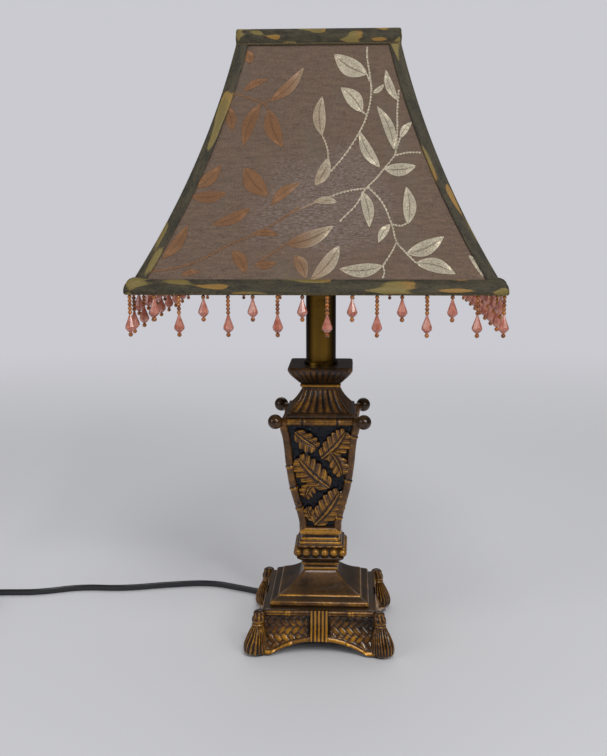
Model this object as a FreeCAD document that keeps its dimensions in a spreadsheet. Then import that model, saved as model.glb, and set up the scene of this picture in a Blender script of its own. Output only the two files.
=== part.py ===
import FreeCAD, Part
import math
import operator
import os
from types import SimpleNamespace

import Sketcher
from FreeCAD import Placement, Rotation, Vector

# Accent lamp with a carved resin stand, a brass neck tube and a square bell shade with a beaded fringe.
# Millimetres, +Z up, origin on the table under the middle of the foot, front of the lamp towards -Y.

doc = FreeCAD.newDocument("accent_lamp")
sheet = doc.addObject("Spreadsheet::Sheet", "Sizes")

SIZES = {
    # Foot: flared square box on four corner feet, arched on every side, hollow below with a well for the nut
    "foot_height": 34.4,
    "foot_top_half": 43.0,
    "foot_floor_half": 54.0,
    "foot_flare_power": 2.2,
    "arch_height": 10.4,
    "arch_half_span": 38.0,
    "cavity_height": 30.0,
    "cavity_top_half": 34.0,
    "cavity_floor_half": 43.0,
    "well_height": 48.5,
    "well_half": 16.0,
    "pad_radius": 6.0,
    "pad_thickness": 1.2,
    "pad_offset": 48.5,
    "foot_rail_radius": 2.1,
    "foot_rail_drop": 2.4,
    "band_rib_radius": 1.5,
    "band_rib_pitch": 2.9,
    "band_rib_count": 5,
    "tassel_reach": 58.5,
    "tassel_radius": 8.8,
    # Plinth and pyramid, cast in one with the foot
    "moulding_half": 38.9,
    "moulding_height": 6.4,
    "pyramid_base_half": 31.2,
    "pyramid_step_height": 2.0,
    "pyramid_top_half": 13.4,
    "pyramid_height": 13.2,
    "pyramid_curve_power": 1.4,
    "pyramid_roll_height": 4.0,
    # Beaded collar
    "collar_height": 25.7,
    "collar_half": 20.2,
    "collar_bead_radius": 3.05,
    "collar_bead_row_half": 18.4,
    "collar_bead_height": 12.8,
    "collar_beads_per_side": 6,
    # Tapered column with bamboo corner posts and rails
    "column_height": 98.3,
    "column_top_half": 32.0,
    "column_recess": 4.2,
    "column_band_half": 16.7,
    "column_band_height": 7.1,
    "post_radius": 3.0,
    "post_node_radius": 3.5,
    "rail_radius": 2.7,
    "rail_half": 26.8,
    "rail_drop": 2.7,
    "knob_radius": 5.7,
    "knob_offset": 34.0,
    "knob_drop": 1.0,
    "knob_stem_radius": 3.2,
    # Fluted roof and cup above the column
    "roof_height": 22.4,
    "roof_edge_half": 26.8,
    "roof_edge_height": 3.7,
    "roof_slope_half": 24.3,
    "roof_top_half": 14.1,
    "roof_curve_power": 1.35,
    "cup_height": 17.0,
    "cup_half": 25.0,
    "cup_low_half": 15.2,
    "cup_ring_half": 15.8,
    "cup_ring_height": 2.6,
    "cup_rim_height": 2.2,
    "cup_curve_power": 0.75,
    # Threaded pipe through the whole stand, with its washer and nut in the hollow foot
    "pipe_radius": 5.15,
    "pipe_bore_radius": 3.4,
    "pipe_clearance": 0.4,
    "pipe_below_nut": 1.4,
    "pipe_into_socket": 7.0,
    "washer_radius": 12.0,
    "washer_thickness": 1.6,
    "nut_across_corners_radius": 10.0,
    "nut_height": 6.0,
    "thread_fit": 0.05,
    # Brass neck tube with its base ring and top cap
    "tube_radius": 11.75,
    "tube_wall": 0.8,
    "tube_height": 62.0,
    "tube_ring_radius": 13.2,
    "tube_ring_height": 3.0,
    "tube_fit": 0.1,
    "tube_cap_thickness": 2.0,
    "tube_cap_skirt": 4.0,
    # Harp saddle and locknut
    "saddle_thickness": 1.6,
    "saddle_width": 14.0,
    "saddle_base_half": 18.0,
    "saddle_arm_half": 27.5,
    "saddle_knee_height": 8.0,
    "saddle_shoulder_height": 18.0,
    "saddle_top_height": 30.0,
    "saddle_tongue_width": 5.0,
    "locknut_height": 3.0,
    "locknut_radius": 9.0,
    # Lamp socket with a turn key
    "socket_radius": 17.0,
    "socket_wall": 0.6,
    "socket_cap_height": 17.0,
    "socket_hub_radius": 7.5,
    "socket_shell_height": 41.0,
    "liner_wall": 0.7,
    "liner_gap": 0.1,
    "block_radius": 14.5,
    "block_height": 13.5,
    "block_lift": 0.5,
    "screw_shell_wall": 0.5,
    "screw_shell_height": 24.0,
    "contact_radius": 4.5,
    "contact_height": 1.2,
    "terminal_offset": 8.0,
    "terminal_head_radius": 3.0,
    "terminal_head_height": 1.8,
    "terminal_shank_radius": 1.4,
    "terminal_depth": 6.0,
    "set_screw_radius": 1.7,
    "key_drop": 6.0,
    "key_shaft_radius": 1.6,
    "key_shaft_depth": 6.0,
    "key_reach": 15.0,
    "key_wing_radius": 7.0,
    "key_wing_thickness": 2.6,
    "key_hub_radius": 2.9,
    "running_fit": 0.05,
    # Bulb with a medium screw base
    "bulb_cap_radius": 13.0,
    "bulb_cap_height": 22.5,
    "bulb_cap_wall": 0.5,
    "bulb_tip_radius": 4.6,
    "bulb_tip_height": 2.0,
    "bulb_radius": 24.0,
    "bulb_neck_radius": 13.0,
    "bulb_length": 89.0,
    "bulb_glass_wall": 0.8,
    # Harp with its ferrules and swivel stud
    "harp_height": 166.1,
    "harp_wire_radius": 1.6,
    "harp_shoulder_radius": 40.0,
    "harp_flat_half": 7.0,
    "harp_boss_radius": 6.0,
    "harp_boss_height": 3.5,
    "ferrule_inner_radius": 3.65,
    "ferrule_wall": 0.7,
    "ferrule_height": 14.0,
    "ferrule_travel": 12.0,
    "stud_radius": 3.15,
    "stud_flange_radius": 6.5,
    "stud_flange_thickness": 1.6,
    "stud_stem_radius": 2.0,
    "stud_height": 10.6,
    "rivet_radius": 3.6,
    "rivet_height": 1.0,
    # Shade frame
    "fitter_radius": 12.0,
    "fitter_thickness": 1.6,
    "shade_recess": 11.95,
    "frame_wire_radius": 1.5,
    "frame_gap": 0.25,
    "bottom_ring_lift": 9.0,
    # Shade cover: concave bell of four sides
    "shade_height": 179.25,
    "shade_top_half": 57.3,
    "shade_bottom_half": 127.0,
    "shade_sag": 6.8,
    "top_band_height": 10.6,
    "bottom_band_height": 10.0,
    "corner_trim_width": 8.0,
    "trim_thickness": 0.8,
    "trim_gap": 0.05,
    "fabric_thickness": 0.6,
    "lining_gap": 0.3,
    "lining_thickness": 0.5,
    "mitre_gap": 0.1,
    # Beaded fringe
    "tape_height": 6.0,
    "tape_lift": 0.3,
    "tape_thickness": 0.6,
    "thread_radius": 0.3,
    "bead_hole_radius": 0.4,
    "seed_radius": 1.4,
    "seed_pitch": 2.6,
    "short_seed_count": 1,
    "long_seed_count": 5,
    "teardrop_length": 12.0,
    "teardrop_radius": 3.6,
    "end_bead_radius": 1.5,
    "bead_gap": 0.05,
    "drops_per_side": 15,
    # Finial
    "finial_insert_radius": 4.6,
    "finial_insert_height": 9.0,
    "finial_bore_radius": 3.2,
    "finial_foot_radius": 7.0,
    "finial_foot_height": 1.6,
    "finial_ball_radius": 6.6,
    "finial_height": 16.0,
    # Mains lead, plug and pipe bushing
    "cord_radius": 2.75,
    "cord_floor_gap": 0.1,
    "bushing_flange_radius": 6.0,
    "bushing_flange_thickness": 1.5,
    "bushing_sleeve_height": 8.0,
    "bushing_fit": 0.05,
    "wire_radius": 0.9,
    "wire_spread": 1.4,
    "coil_inner_radius": 19.8,
    "coil_pitch": 6.4,
    "coil_layer_rise": 6.4,
    "coil_centre_x": -335.0,
    "coil_centre_y": 19.3,
    "plug_length": 32.0,
    "plug_half_width": 9.5,
    "plug_half_thickness": 6.35,
    "plug_neck_length": 9.0,
    "plug_neck_radius": 4.6,
    "plug_corner_radius": 3.0,
    "plug_side_gap": 2.0,
    "blade_spacing": 12.7,
    "blade_thickness": 1.5,
    "blade_width": 6.35,
    "blade_length": 17.0,
    # One overrun for every cut that goes right through
    "overrun": 5.0,
}

# Outlines, as shares of the height and half width of the form that they belong to
MOULDING_SHARES = ((0.0, 0.965), (0.14, 0.99), (0.42, 1.0), (0.72, 0.985), (1.0, 0.91))
PYRAMID_ROLL_SHARES = ((0.15, 1.04), (0.4, 1.04), (0.65, 0.99), (1.0, 0.97))
COLLAR_SHARES = (
    (0.0, 0.71), (0.06, 0.75), (0.14, 0.755), (0.25, 0.92), (0.32, 1.0), (0.66, 1.0),
    (0.71, 0.915), (0.8, 0.85), (0.86, 0.77), (0.92, 0.73), (1.0, 0.73),
)
COLUMN_POST_SHARES = (
    (0.072, 0.525), (0.115, 0.53), (0.235, 0.606), (0.426, 0.75),
    (0.62, 0.838), (0.755, 0.875), (0.851, 0.913), (0.93, 1.0), (0.975, 1.03),
)
COLUMN_NODE_SHARES = (0.18, 0.31, 0.55, 0.8)
COLUMN_BAND_SHARES = ((0.0, 0.93), (0.1, 1.0), (0.88, 1.0), (1.0, 0.92))
TASSEL_SHARES = (
    (0.0, 0.78), (0.06, 0.93), (0.24, 1.0), (0.52, 0.74), (0.7, 0.46), (0.74, 0.52), (0.78, 0.46), (0.86, 0.5),
    (0.94, 0.46), (1.0, 0.3),
)
TASSEL_LEAN_SHARE = 0.24
TEARDROP_SHARES = ((0.0, 0.25), (0.12, 0.3), (0.4, 0.66), (0.66, 0.97), (0.74, 1.0), (0.82, 0.9), (1.0, 0.3))
FINIAL_SHARES = (
    (0.16, 0.87), (0.28, 0.84), (0.36, 0.9), (0.5, 0.99), (0.62, 1.0), (0.78, 0.86), (0.93, 0.5), (1.0, 0.2),
)


class Size:
    """A size from the sheet, or a sum of sizes, that knows its number and the expression that gives it."""

    def __init__(self, number, text):
        self.number = number
        self.text = text

    def __float__(self):
        return float(self.number)

    def joined(self, other, sign, rule):
        if not isinstance(other, Size):
            other = Size(other, repr(other))
        return Size(rule(self.number, other.number), f"({self.text} {sign} {other.text})")

    def __add__(self, other):
        return self.joined(other, "+", operator.add)

    def __sub__(self, other):
        return self.joined(other, "-", operator.sub)

    def __mul__(self, other):
        return self.joined(other, "*", operator.mul)

    def __truediv__(self, other):
        return self.joined(other, "/", operator.truediv)

    def __neg__(self):
        return Size(-self.number, f"(-1 * {self.text})")


for row, (alias, number) in enumerate(SIZES.items(), start=1):
    sheet.set(f"A{row}", alias)
    sheet.set(f"B{row}", str(number))
    sheet.setAlias(f"B{row}", alias)
doc.recompute()

size = SimpleNamespace(**{alias: Size(sheet.get(alias), f"Sizes.{alias}") for alias in SIZES})
mm = SimpleNamespace(**{alias: sheet.get(alias) for alias in SIZES})

# Heights above the table of the seats that the pieces are stacked on
plinth_level = size.foot_height + size.moulding_height + size.pyramid_step_height
collar_level = plinth_level + size.pyramid_height + size.pyramid_roll_height
column_level = collar_level + size.collar_height
roof_level = column_level + size.column_height
cup_level = roof_level + size.roof_height
tube_level = cup_level + size.cup_height
cap_level = tube_level + size.tube_height
saddle_level = cap_level + size.tube_cap_thickness
locknut_level = saddle_level + size.saddle_thickness
socket_level = locknut_level + size.locknut_height
shell_level = socket_level + size.socket_cap_height
block_level = shell_level + size.block_lift
contact_level = block_level + size.block_height
key_level = contact_level - size.key_drop
bulb_level = contact_level + size.contact_height + size.bead_gap
flange_level = saddle_level + size.harp_height
fitter_level = flange_level + size.stud_flange_thickness
finial_level = fitter_level + size.fitter_thickness
shade_top_level = finial_level + size.shade_recess
shade_level = shade_top_level - size.shade_height
nut_level = size.well_height - size.washer_thickness - size.nut_height
pipe_start = nut_level - size.pipe_below_nut
mouth_level = pipe_start - size.bushing_flange_thickness

nodes = {}


def keep(name, item):
    """Registers a finished sub-part under the name of its node."""
    item.Label = name
    nodes[name] = item
    return item


def bind(item, prop, value):
    """Sets a property of an object from a size of the sheet."""
    if isinstance(value, Size):
        item.setExpression(prop, value.text)
    else:
        setattr(item, prop, value)


def place(item, x=0, y=0, z=0, turn=None):
    """Gives an object its place, bound to the sheet, and its turn."""
    item.Placement = Placement(Vector(float(x), float(y), float(z)), turn or Rotation())
    for axis, value in (("x", x), ("y", y), ("z", z)):
        if isinstance(value, Size):
            item.setExpression(f"Placement.Base.{axis}", value.text)
    return item


def cylinder(name, radius, height, x=0, y=0, z=0, turn=None):
    item = doc.addObject("Part::Cylinder", name)
    bind(item, "Radius", radius)
    bind(item, "Height", height)
    return place(item, x, y, z, turn)


def box(name, length, width, height, x=0, y=0, z=0):
    item = doc.addObject("Part::Box", name)
    bind(item, "Length", length)
    bind(item, "Width", width)
    bind(item, "Height", height)
    return place(item, x, y, z)


def hexagon(name, radius, height, z):
    item = doc.addObject("Part::Prism", name)
    item.Polygon = 6
    bind(item, "Circumradius", radius)
    bind(item, "Height", height)
    return place(item, z=z)


def cut(name, base, tool):
    item = doc.addObject("Part::Cut", name)
    item.Base = base
    item.Tool = tool
    return item


def fuse(name, first, second):
    item = doc.addObject("Part::Fuse", name)
    item.Base = first
    item.Tool = second
    return item


def group(name, parts):
    item = doc.addObject("Part::Compound", name)
    item.Links = parts
    return item


def ring(name, outer, inner, height, z):
    """A plain tube or washer standing on level z."""
    blank = cylinder(f"{name}_blank", outer, height, z=z)
    bore = cylinder(f"{name}_bore", inner, height + size.overrun * 2, z=z - size.overrun)
    return cut(name, blank, bore)


def origin_plane(body, role):
    return next(item for item in body.Origin.OriginFeatures if item.Role == role)


def outline_sketch(body, name, role, outline):
    """A closed outline of straight lines, each corner held at sizes of the sheet from the axes."""
    sketch = body.newObject("Sketcher::SketchObject", name)
    sketch.AttachmentSupport = [(origin_plane(body, role), "")]
    sketch.MapMode = "FlatFace"
    corners = [Vector(float(x), float(y), 0) for x, y in outline]
    for first, second in zip(corners, corners[1:] + corners[:1]):
        sketch.addGeometry(Part.LineSegment(first, second), False)
    for index in range(len(corners)):
        following = (index + 1) % len(corners)
        sketch.addConstraint(Sketcher.Constraint("Coincident", index, 2, following, 1))
    for index, (x, y) in enumerate(outline):
        for kind, axis, value in (("DistanceX", -2, x), ("DistanceY", -1, y)):
            if isinstance(value, Size):
                number = sketch.addConstraint(Sketcher.Constraint(kind, -1, 1, index, 1, float(value)))
                sketch.setExpression(f"Constraints[{number}]", value.text)
            else:
                sketch.addConstraint(Sketcher.Constraint("PointOnObject", index, 1, axis))
    return sketch


def revolved(name, outline, z):
    """A turned piece: radius and height of each corner of its section, on level z."""
    body = doc.addObject("PartDesign::Body", name)
    sketch = outline_sketch(body, f"{name}_section", "XZ_Plane", outline)
    turned = body.newObject("PartDesign::Revolution", f"{name}_turned")
    turned.Profile = sketch
    turned.ReferenceAxis = (sketch, ["V_Axis"])
    turned.Angle = 360
    body.Tip = turned
    place(body, z=z)
    return keep(name, body)


def shaped(name, shape, turn=0):
    """A sub-part whose form neither a sketch nor a primitive gives, turned about the lamp's axis."""
    item = doc.addObject("Part::Feature", name)
    item.Shape = shape
    item.Placement = Placement(Vector(), Rotation(Vector(0, 0, 1), turn))
    return keep(name, item)


def square_wire(half, z):
    corners = [Vector(sx * half, sy * half, z) for sx, sy in ((-1, -1), (1, -1), (1, 1), (-1, 1), (-1, -1))]
    return Part.makePolygon(corners)


def square_stack(levels):
    """A solid with a square section, given by its half width at each height."""
    return Part.makeLoft([square_wire(half, z) for z, half in levels], True, True)


def round_stack(levels):
    """A solid of round sections, given by centre and radius of each."""
    circles = [Part.Wire(Part.makeCircle(radius, centre)) for centre, radius in levels]
    return Part.makeLoft(circles, True, True)


def rod(start, end, radius):
    along = end - start
    return Part.makeCylinder(radius, along.Length, start, along)


def quarter_turns(shape):
    """Four copies of a shape, a quarter turn apart about the lamp's axis."""
    copies = []
    for quarter in range(4):
        turned = shape.copy()
        turned.rotate(Vector(), Vector(0, 0, 1), 90 * quarter)
        copies.append(turned)
    return copies


def pipe_bore(low, high):
    radius = mm.pipe_radius + mm.pipe_clearance
    return Part.makeCylinder(radius, high - low + 2 * mm.overrun, Vector(0, 0, low - mm.overrun))


def shares_between(shares, low, height, half):
    return [(low + height * up, half * out) for up, out in shares]


def interpolated(table, height):
    """Half width at a height, along a table of heights and half widths."""
    for (low, first), (high, second) in zip(table, table[1:]):
        if height <= high:
            return first + (second - first) * (height - low) / (high - low)
    return table[-1][1]


# Stand: castings

def foot_half_at(height):
    """Outer half width of the flared foot at a height above the table."""
    rise = (height - mm.pad_thickness) / (mm.foot_height - mm.pad_thickness)
    return mm.foot_top_half + (mm.foot_floor_half - mm.foot_top_half) * (1 - rise) ** mm.foot_flare_power


def foot_casting():
    flare_steps = 8
    curve_steps = 6
    rise = mm.foot_height - mm.pad_thickness
    heights = [mm.pad_thickness + rise * step / flare_steps for step in range(flare_steps + 1)]
    foot = square_stack([(height, foot_half_at(height)) for height in heights])

    levels = shares_between(MOULDING_SHARES, mm.foot_height, mm.moulding_height, mm.moulding_half)
    level = float(plinth_level)
    for step in range(curve_steps + 1):
        up = step / curve_steps
        spread = (mm.pyramid_base_half - mm.pyramid_top_half) * (1 - up) ** mm.pyramid_curve_power
        levels.append((level + mm.pyramid_height * up, mm.pyramid_top_half + spread))
    roll_level = level + mm.pyramid_height
    levels += shares_between(PYRAMID_ROLL_SHARES, roll_level, mm.pyramid_roll_height, mm.pyramid_top_half)
    solid = foot.fuse(square_stack(levels))

    # Bamboo rails under the moulding and the ribbed band in the middle of each side
    rail_height = mm.foot_height - mm.foot_rail_drop
    rail_line = foot_half_at(rail_height) - mm.foot_rail_radius / 2
    rail = rod(Vector(-rail_line, -rail_line, rail_height), Vector(rail_line, -rail_line, rail_height),
               mm.foot_rail_radius)
    details = quarter_turns(rail)
    band_low = mm.arch_height + mm.band_rib_radius
    band_steps = 4
    band_rise = (mm.foot_height - band_low) / band_steps
    band_heights = [band_low + band_rise * step for step in range(band_steps + 1)]
    for rib in range(int(mm.band_rib_count)):
        x = (rib - (mm.band_rib_count - 1) / 2) * mm.band_rib_pitch
        levels = [(Vector(x, -foot_half_at(height), height), mm.band_rib_radius) for height in band_heights]
        details += quarter_turns(round_stack(levels))

    # Corner tassels that carry the foot
    tassel = []
    tassel_rise = mm.foot_height - mm.pad_thickness
    widest = mm.tassel_reach - mm.tassel_radius
    for up, out in TASSEL_SHARES:
        lean = widest - TASSEL_LEAN_SHARE * mm.tassel_radius * 2 * max(up - TASSEL_SHARES[2][0], 0)
        tassel.append((Vector(lean, lean, mm.pad_thickness + tassel_rise * up), mm.tassel_radius * out))
    details += quarter_turns(round_stack(tassel))
    solid = solid.fuse(details)

    # Arches, hollow underside, well for the nut and pipe bore
    arch_rise = mm.arch_height - mm.pad_thickness
    arch_radius = (mm.arch_half_span ** 2 + arch_rise ** 2) / (2 * arch_rise)
    reach = mm.tassel_reach + mm.overrun
    arch_axis = mm.arch_height - arch_radius
    arches = [
        Part.makeCylinder(arch_radius, 2 * reach, Vector(0, -reach, arch_axis), Vector(0, 1, 0)),
        Part.makeCylinder(arch_radius, 2 * reach, Vector(-reach, 0, arch_axis), Vector(1, 0, 0)),
    ]
    cavity = square_stack([(0, mm.cavity_floor_half), (mm.cavity_height, mm.cavity_top_half)])
    well = square_stack([(0, mm.well_half), (mm.well_height, mm.well_half)])
    top = float(collar_level)
    solid = solid.cut(arches + [cavity, well, pipe_bore(0, top)])
    return shaped("foot_casting", solid)


def beaded_collar():
    low = float(collar_level)
    body = square_stack(shares_between(COLLAR_SHARES, low, mm.collar_height, mm.collar_half))
    row = mm.collar_bead_row_half
    count = int(mm.collar_beads_per_side) - 1
    pitch = 2 * row / count
    beads = []
    for index in range(count):
        centre = Vector(-row + index * pitch, -row, low + mm.collar_bead_height)
        beads += quarter_turns(Part.makeSphere(mm.collar_bead_radius, centre))
    solid = body.fuse(beads).cut(pipe_bore(low, low + mm.collar_height))
    return shaped("beaded_collar", solid)


def column_casting():
    low = float(column_level)
    top = float(roof_level)
    outer = shares_between(COLUMN_POST_SHARES, low, mm.column_height, mm.column_top_half)
    band_top = low + mm.column_band_height
    core = shares_between(COLUMN_BAND_SHARES, low, mm.column_band_height, mm.column_band_half)
    core += [(height, half - mm.column_recess) for height, half in outer[1:-2]]
    core.append((top, mm.rail_half))
    solid = square_stack(core)

    # Corner posts with their bamboo nodes
    heights = {height: mm.post_radius for height, half in outer if height >= band_top}
    for share in COLUMN_NODE_SHARES:
        node = low + mm.column_height * share
        for offset, radius in ((-2, mm.post_radius), (0, mm.post_node_radius), (2, mm.post_radius)):
            heights[node + offset * (mm.post_node_radius - mm.post_radius)] = radius
    heights[band_top - mm.overrun / 2] = mm.post_radius
    table = [(low, outer[0][1])] + outer
    post = []
    for height in sorted(heights):
        middle = interpolated(table, height) - mm.post_radius
        post.append((Vector(middle, middle, height), heights[height]))
    details = quarter_turns(round_stack(post))

    # Top rails and corner knobs
    rail_height = top - mm.rail_drop
    rail_start = Vector(-mm.rail_half, -mm.rail_half, rail_height)
    rail = rod(rail_start, Vector(mm.rail_half, -mm.rail_half, rail_height), mm.rail_radius)
    details += quarter_turns(rail)
    knob_centre = Vector(mm.knob_offset, mm.knob_offset, top - mm.knob_drop)
    stem = rod(Vector(mm.rail_half, mm.rail_half, rail_height), knob_centre, mm.knob_stem_radius)
    details += quarter_turns(Part.makeSphere(mm.knob_radius, knob_centre))
    details += quarter_turns(stem)
    solid = solid.fuse(details)

    # Flat seat for the roof, clear of the knobs
    seat = square_stack([(top, mm.rail_half), (top + mm.roof_edge_height, mm.rail_half)])
    solid = solid.cut([seat, pipe_bore(low, top)])
    return shaped("column_casting", solid)


def fluted_roof():
    low = float(roof_level)
    steps = 6
    levels = [(low, mm.roof_edge_half), (low + mm.roof_edge_height / 2, mm.roof_edge_half)]
    slope_low = low + mm.roof_edge_height
    slope_height = mm.roof_height - mm.roof_edge_height - mm.cup_ring_height / 2
    for step in range(steps + 1):
        up = step / steps
        spread = (mm.roof_slope_half - mm.roof_top_half) * (1 - up) ** mm.roof_curve_power
        levels.append((slope_low + slope_height * up, mm.roof_top_half + spread))
    levels.append((low + mm.roof_height, mm.roof_top_half))
    solid = square_stack(levels)
    return shaped("fluted_roof", solid.cut(pipe_bore(low, low + mm.roof_height)))


def fluted_cup():
    low = float(cup_level)
    steps = 6
    edge = (mm.cup_ring_half - mm.cup_low_half) / 2
    levels = [
        (low, mm.cup_low_half),
        (low + edge, mm.cup_ring_half),
        (low + mm.cup_ring_height - edge, mm.cup_ring_half),
        (low + mm.cup_ring_height, mm.cup_low_half),
    ]
    curve_low = low + mm.cup_ring_height
    curve_height = mm.cup_height - mm.cup_ring_height - mm.cup_rim_height
    for step in range(1, steps + 1):
        up = step / steps
        half = mm.cup_low_half + (mm.cup_half - mm.cup_low_half) * up ** mm.cup_curve_power
        levels.append((curve_low + curve_height * up, half))
    levels.append((low + mm.cup_height, mm.cup_half))
    solid = square_stack(levels)
    return shaped("fluted_cup", solid.cut(pipe_bore(low, low + mm.cup_height)))


def felt_pads():
    offset = size.pad_offset
    pads = []
    for x in (-offset, offset):
        for y in (-offset, offset):
            pads.append(cylinder(f"pad_{len(pads)}", size.pad_radius, size.pad_thickness, x, y))
    keep("felt_pads", group("felt_pads", pads))


# Stand: pipe, tube and their fasteners

def pipe_and_fasteners():
    pipe_top = socket_level + size.pipe_into_socket
    keep("threaded_pipe", ring("threaded_pipe", size.pipe_radius, size.pipe_bore_radius,
                               pipe_top - pipe_start, pipe_start))
    thread = size.pipe_radius + size.thread_fit
    keep("bottom_washer", ring("bottom_washer", size.washer_radius, thread, size.washer_thickness,
                               nut_level + size.nut_height))
    nut = hexagon("bottom_nut_blank", size.nut_across_corners_radius, size.nut_height, nut_level)
    tap = cylinder("bottom_nut_tap", thread, size.nut_height + size.overrun * 2, z=nut_level - size.overrun)
    keep("bottom_nut", cut("bottom_nut", nut, tap))
    locknut = hexagon("saddle_locknut_blank", size.locknut_radius, size.locknut_height, locknut_level)
    lock_tap = cylinder("saddle_locknut_tap", thread, size.locknut_height + size.overrun * 2,
                        z=locknut_level - size.overrun)
    keep("saddle_locknut", cut("saddle_locknut", locknut, lock_tap))


def neck_tube():
    inner = size.tube_radius - size.tube_wall
    keep("neck_tube", ring("neck_tube", size.tube_radius, inner, size.tube_height, tube_level))
    low = size.tube_radius + size.tube_fit
    crown = size.tube_ring_height / 3
    revolved("tube_base_ring", [
        (low, 0),
        (size.tube_ring_radius, 0),
        (size.tube_ring_radius, crown * 2),
        (size.tube_ring_radius - crown, size.tube_ring_height),
        (low, size.tube_ring_height),
    ], tube_level)
    bore = size.pipe_radius + size.tube_fit
    skirt = inner - size.tube_fit
    skirt_inner = skirt - size.tube_wall
    cap_top = size.tube_cap_skirt + size.tube_cap_thickness
    revolved("tube_cap", [
        (bore, size.tube_cap_skirt),
        (skirt_inner, size.tube_cap_skirt),
        (skirt_inner, 0),
        (skirt, 0),
        (skirt, size.tube_cap_skirt),
        (size.tube_radius, size.tube_cap_skirt),
        (size.tube_radius, cap_top),
        (bore, cap_top),
    ], cap_level - size.tube_cap_skirt)


def harp_saddle():
    """Bent strip: one half padded from its edge view, mirrored, then cut to tongues and bored for the pipe."""
    body = doc.addObject("PartDesign::Body", "harp_saddle")
    thick = size.saddle_thickness
    arm_inner = size.saddle_arm_half - thick
    outline = [
        (0, 0),
        (size.saddle_base_half, 0),
        (size.saddle_arm_half, size.saddle_knee_height),
        (size.saddle_arm_half, size.saddle_top_height),
        (arm_inner, size.saddle_top_height),
        (arm_inner, size.saddle_knee_height + thick / 2),
        (size.saddle_base_half - thick / 2, thick),
        (0, thick),
    ]
    sketch = outline_sketch(body, "harp_saddle_edge", "XZ_Plane", outline)
    strip = body.newObject("PartDesign::Pad", "harp_saddle_strip")
    strip.Profile = sketch
    strip.Midplane = True
    bind(strip, "Length", size.saddle_width)
    body.Tip = strip
    doc.recompute()

    # The arm's top is narrowed to a tongue by a slot each side of it
    half_tongue = size.saddle_tongue_width / 2
    half_width = size.saddle_width / 2 + thick
    top = size.saddle_top_height + thick
    for side, name in ((1, "left"), (-1, "right")):
        slot_outline = [
            (half_tongue * side, size.saddle_shoulder_height),
            (half_width * side, size.saddle_shoulder_height),
            (half_width * side, top),
            (half_tongue * side, top),
        ]
        slot_sketch = outline_sketch(body, f"harp_saddle_{name}", "YZ_Plane", slot_outline)
        slot = body.newObject("PartDesign::Pocket", f"harp_saddle_{name}_slot")
        slot.Profile = slot_sketch
        slot.Type = "ThroughAll"
        slot.Midplane = True
        body.Tip = slot
        doc.recompute()
    mirrored = body.newObject("PartDesign::Mirrored", "harp_saddle_mirrored")
    mirrored.Originals = [strip] + [item for item in body.Group if item.Name.endswith("_slot")]
    mirrored.MirrorPlane = (origin_plane(body, "YZ_Plane"), [""])
    body.Tip = mirrored
    doc.recompute()

    hole_sketch = body.newObject("Sketcher::SketchObject", "harp_saddle_hole")
    hole_sketch.AttachmentSupport = [(origin_plane(body, "XY_Plane"), "")]
    hole_sketch.MapMode = "FlatFace"
    hole_sketch.addGeometry(Part.Circle(Vector(), Vector(0, 0, 1), mm.pipe_radius + mm.tube_fit), False)
    hole_sketch.addConstraint(Sketcher.Constraint("Coincident", 0, 3, -1, 1))
    number = hole_sketch.addConstraint(Sketcher.Constraint("Radius", 0, mm.pipe_radius + mm.tube_fit))
    hole_sketch.setExpression(f"Constraints[{number}]", (size.pipe_radius + size.tube_fit).text)
    before = mirrored.Shape.Volume
    hole = body.newObject("PartDesign::Pocket", "harp_saddle_bore")
    hole.Profile = hole_sketch
    hole.Type = "ThroughAll"
    hole.Midplane = True
    body.Tip = hole
    doc.recompute()
    if hole.Shape.Volume >= before:
        raise RuntimeError("the saddle's bore cut nothing")
    place(body, z=saddle_level)
    keep("harp_saddle", body)


# Socket

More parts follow.
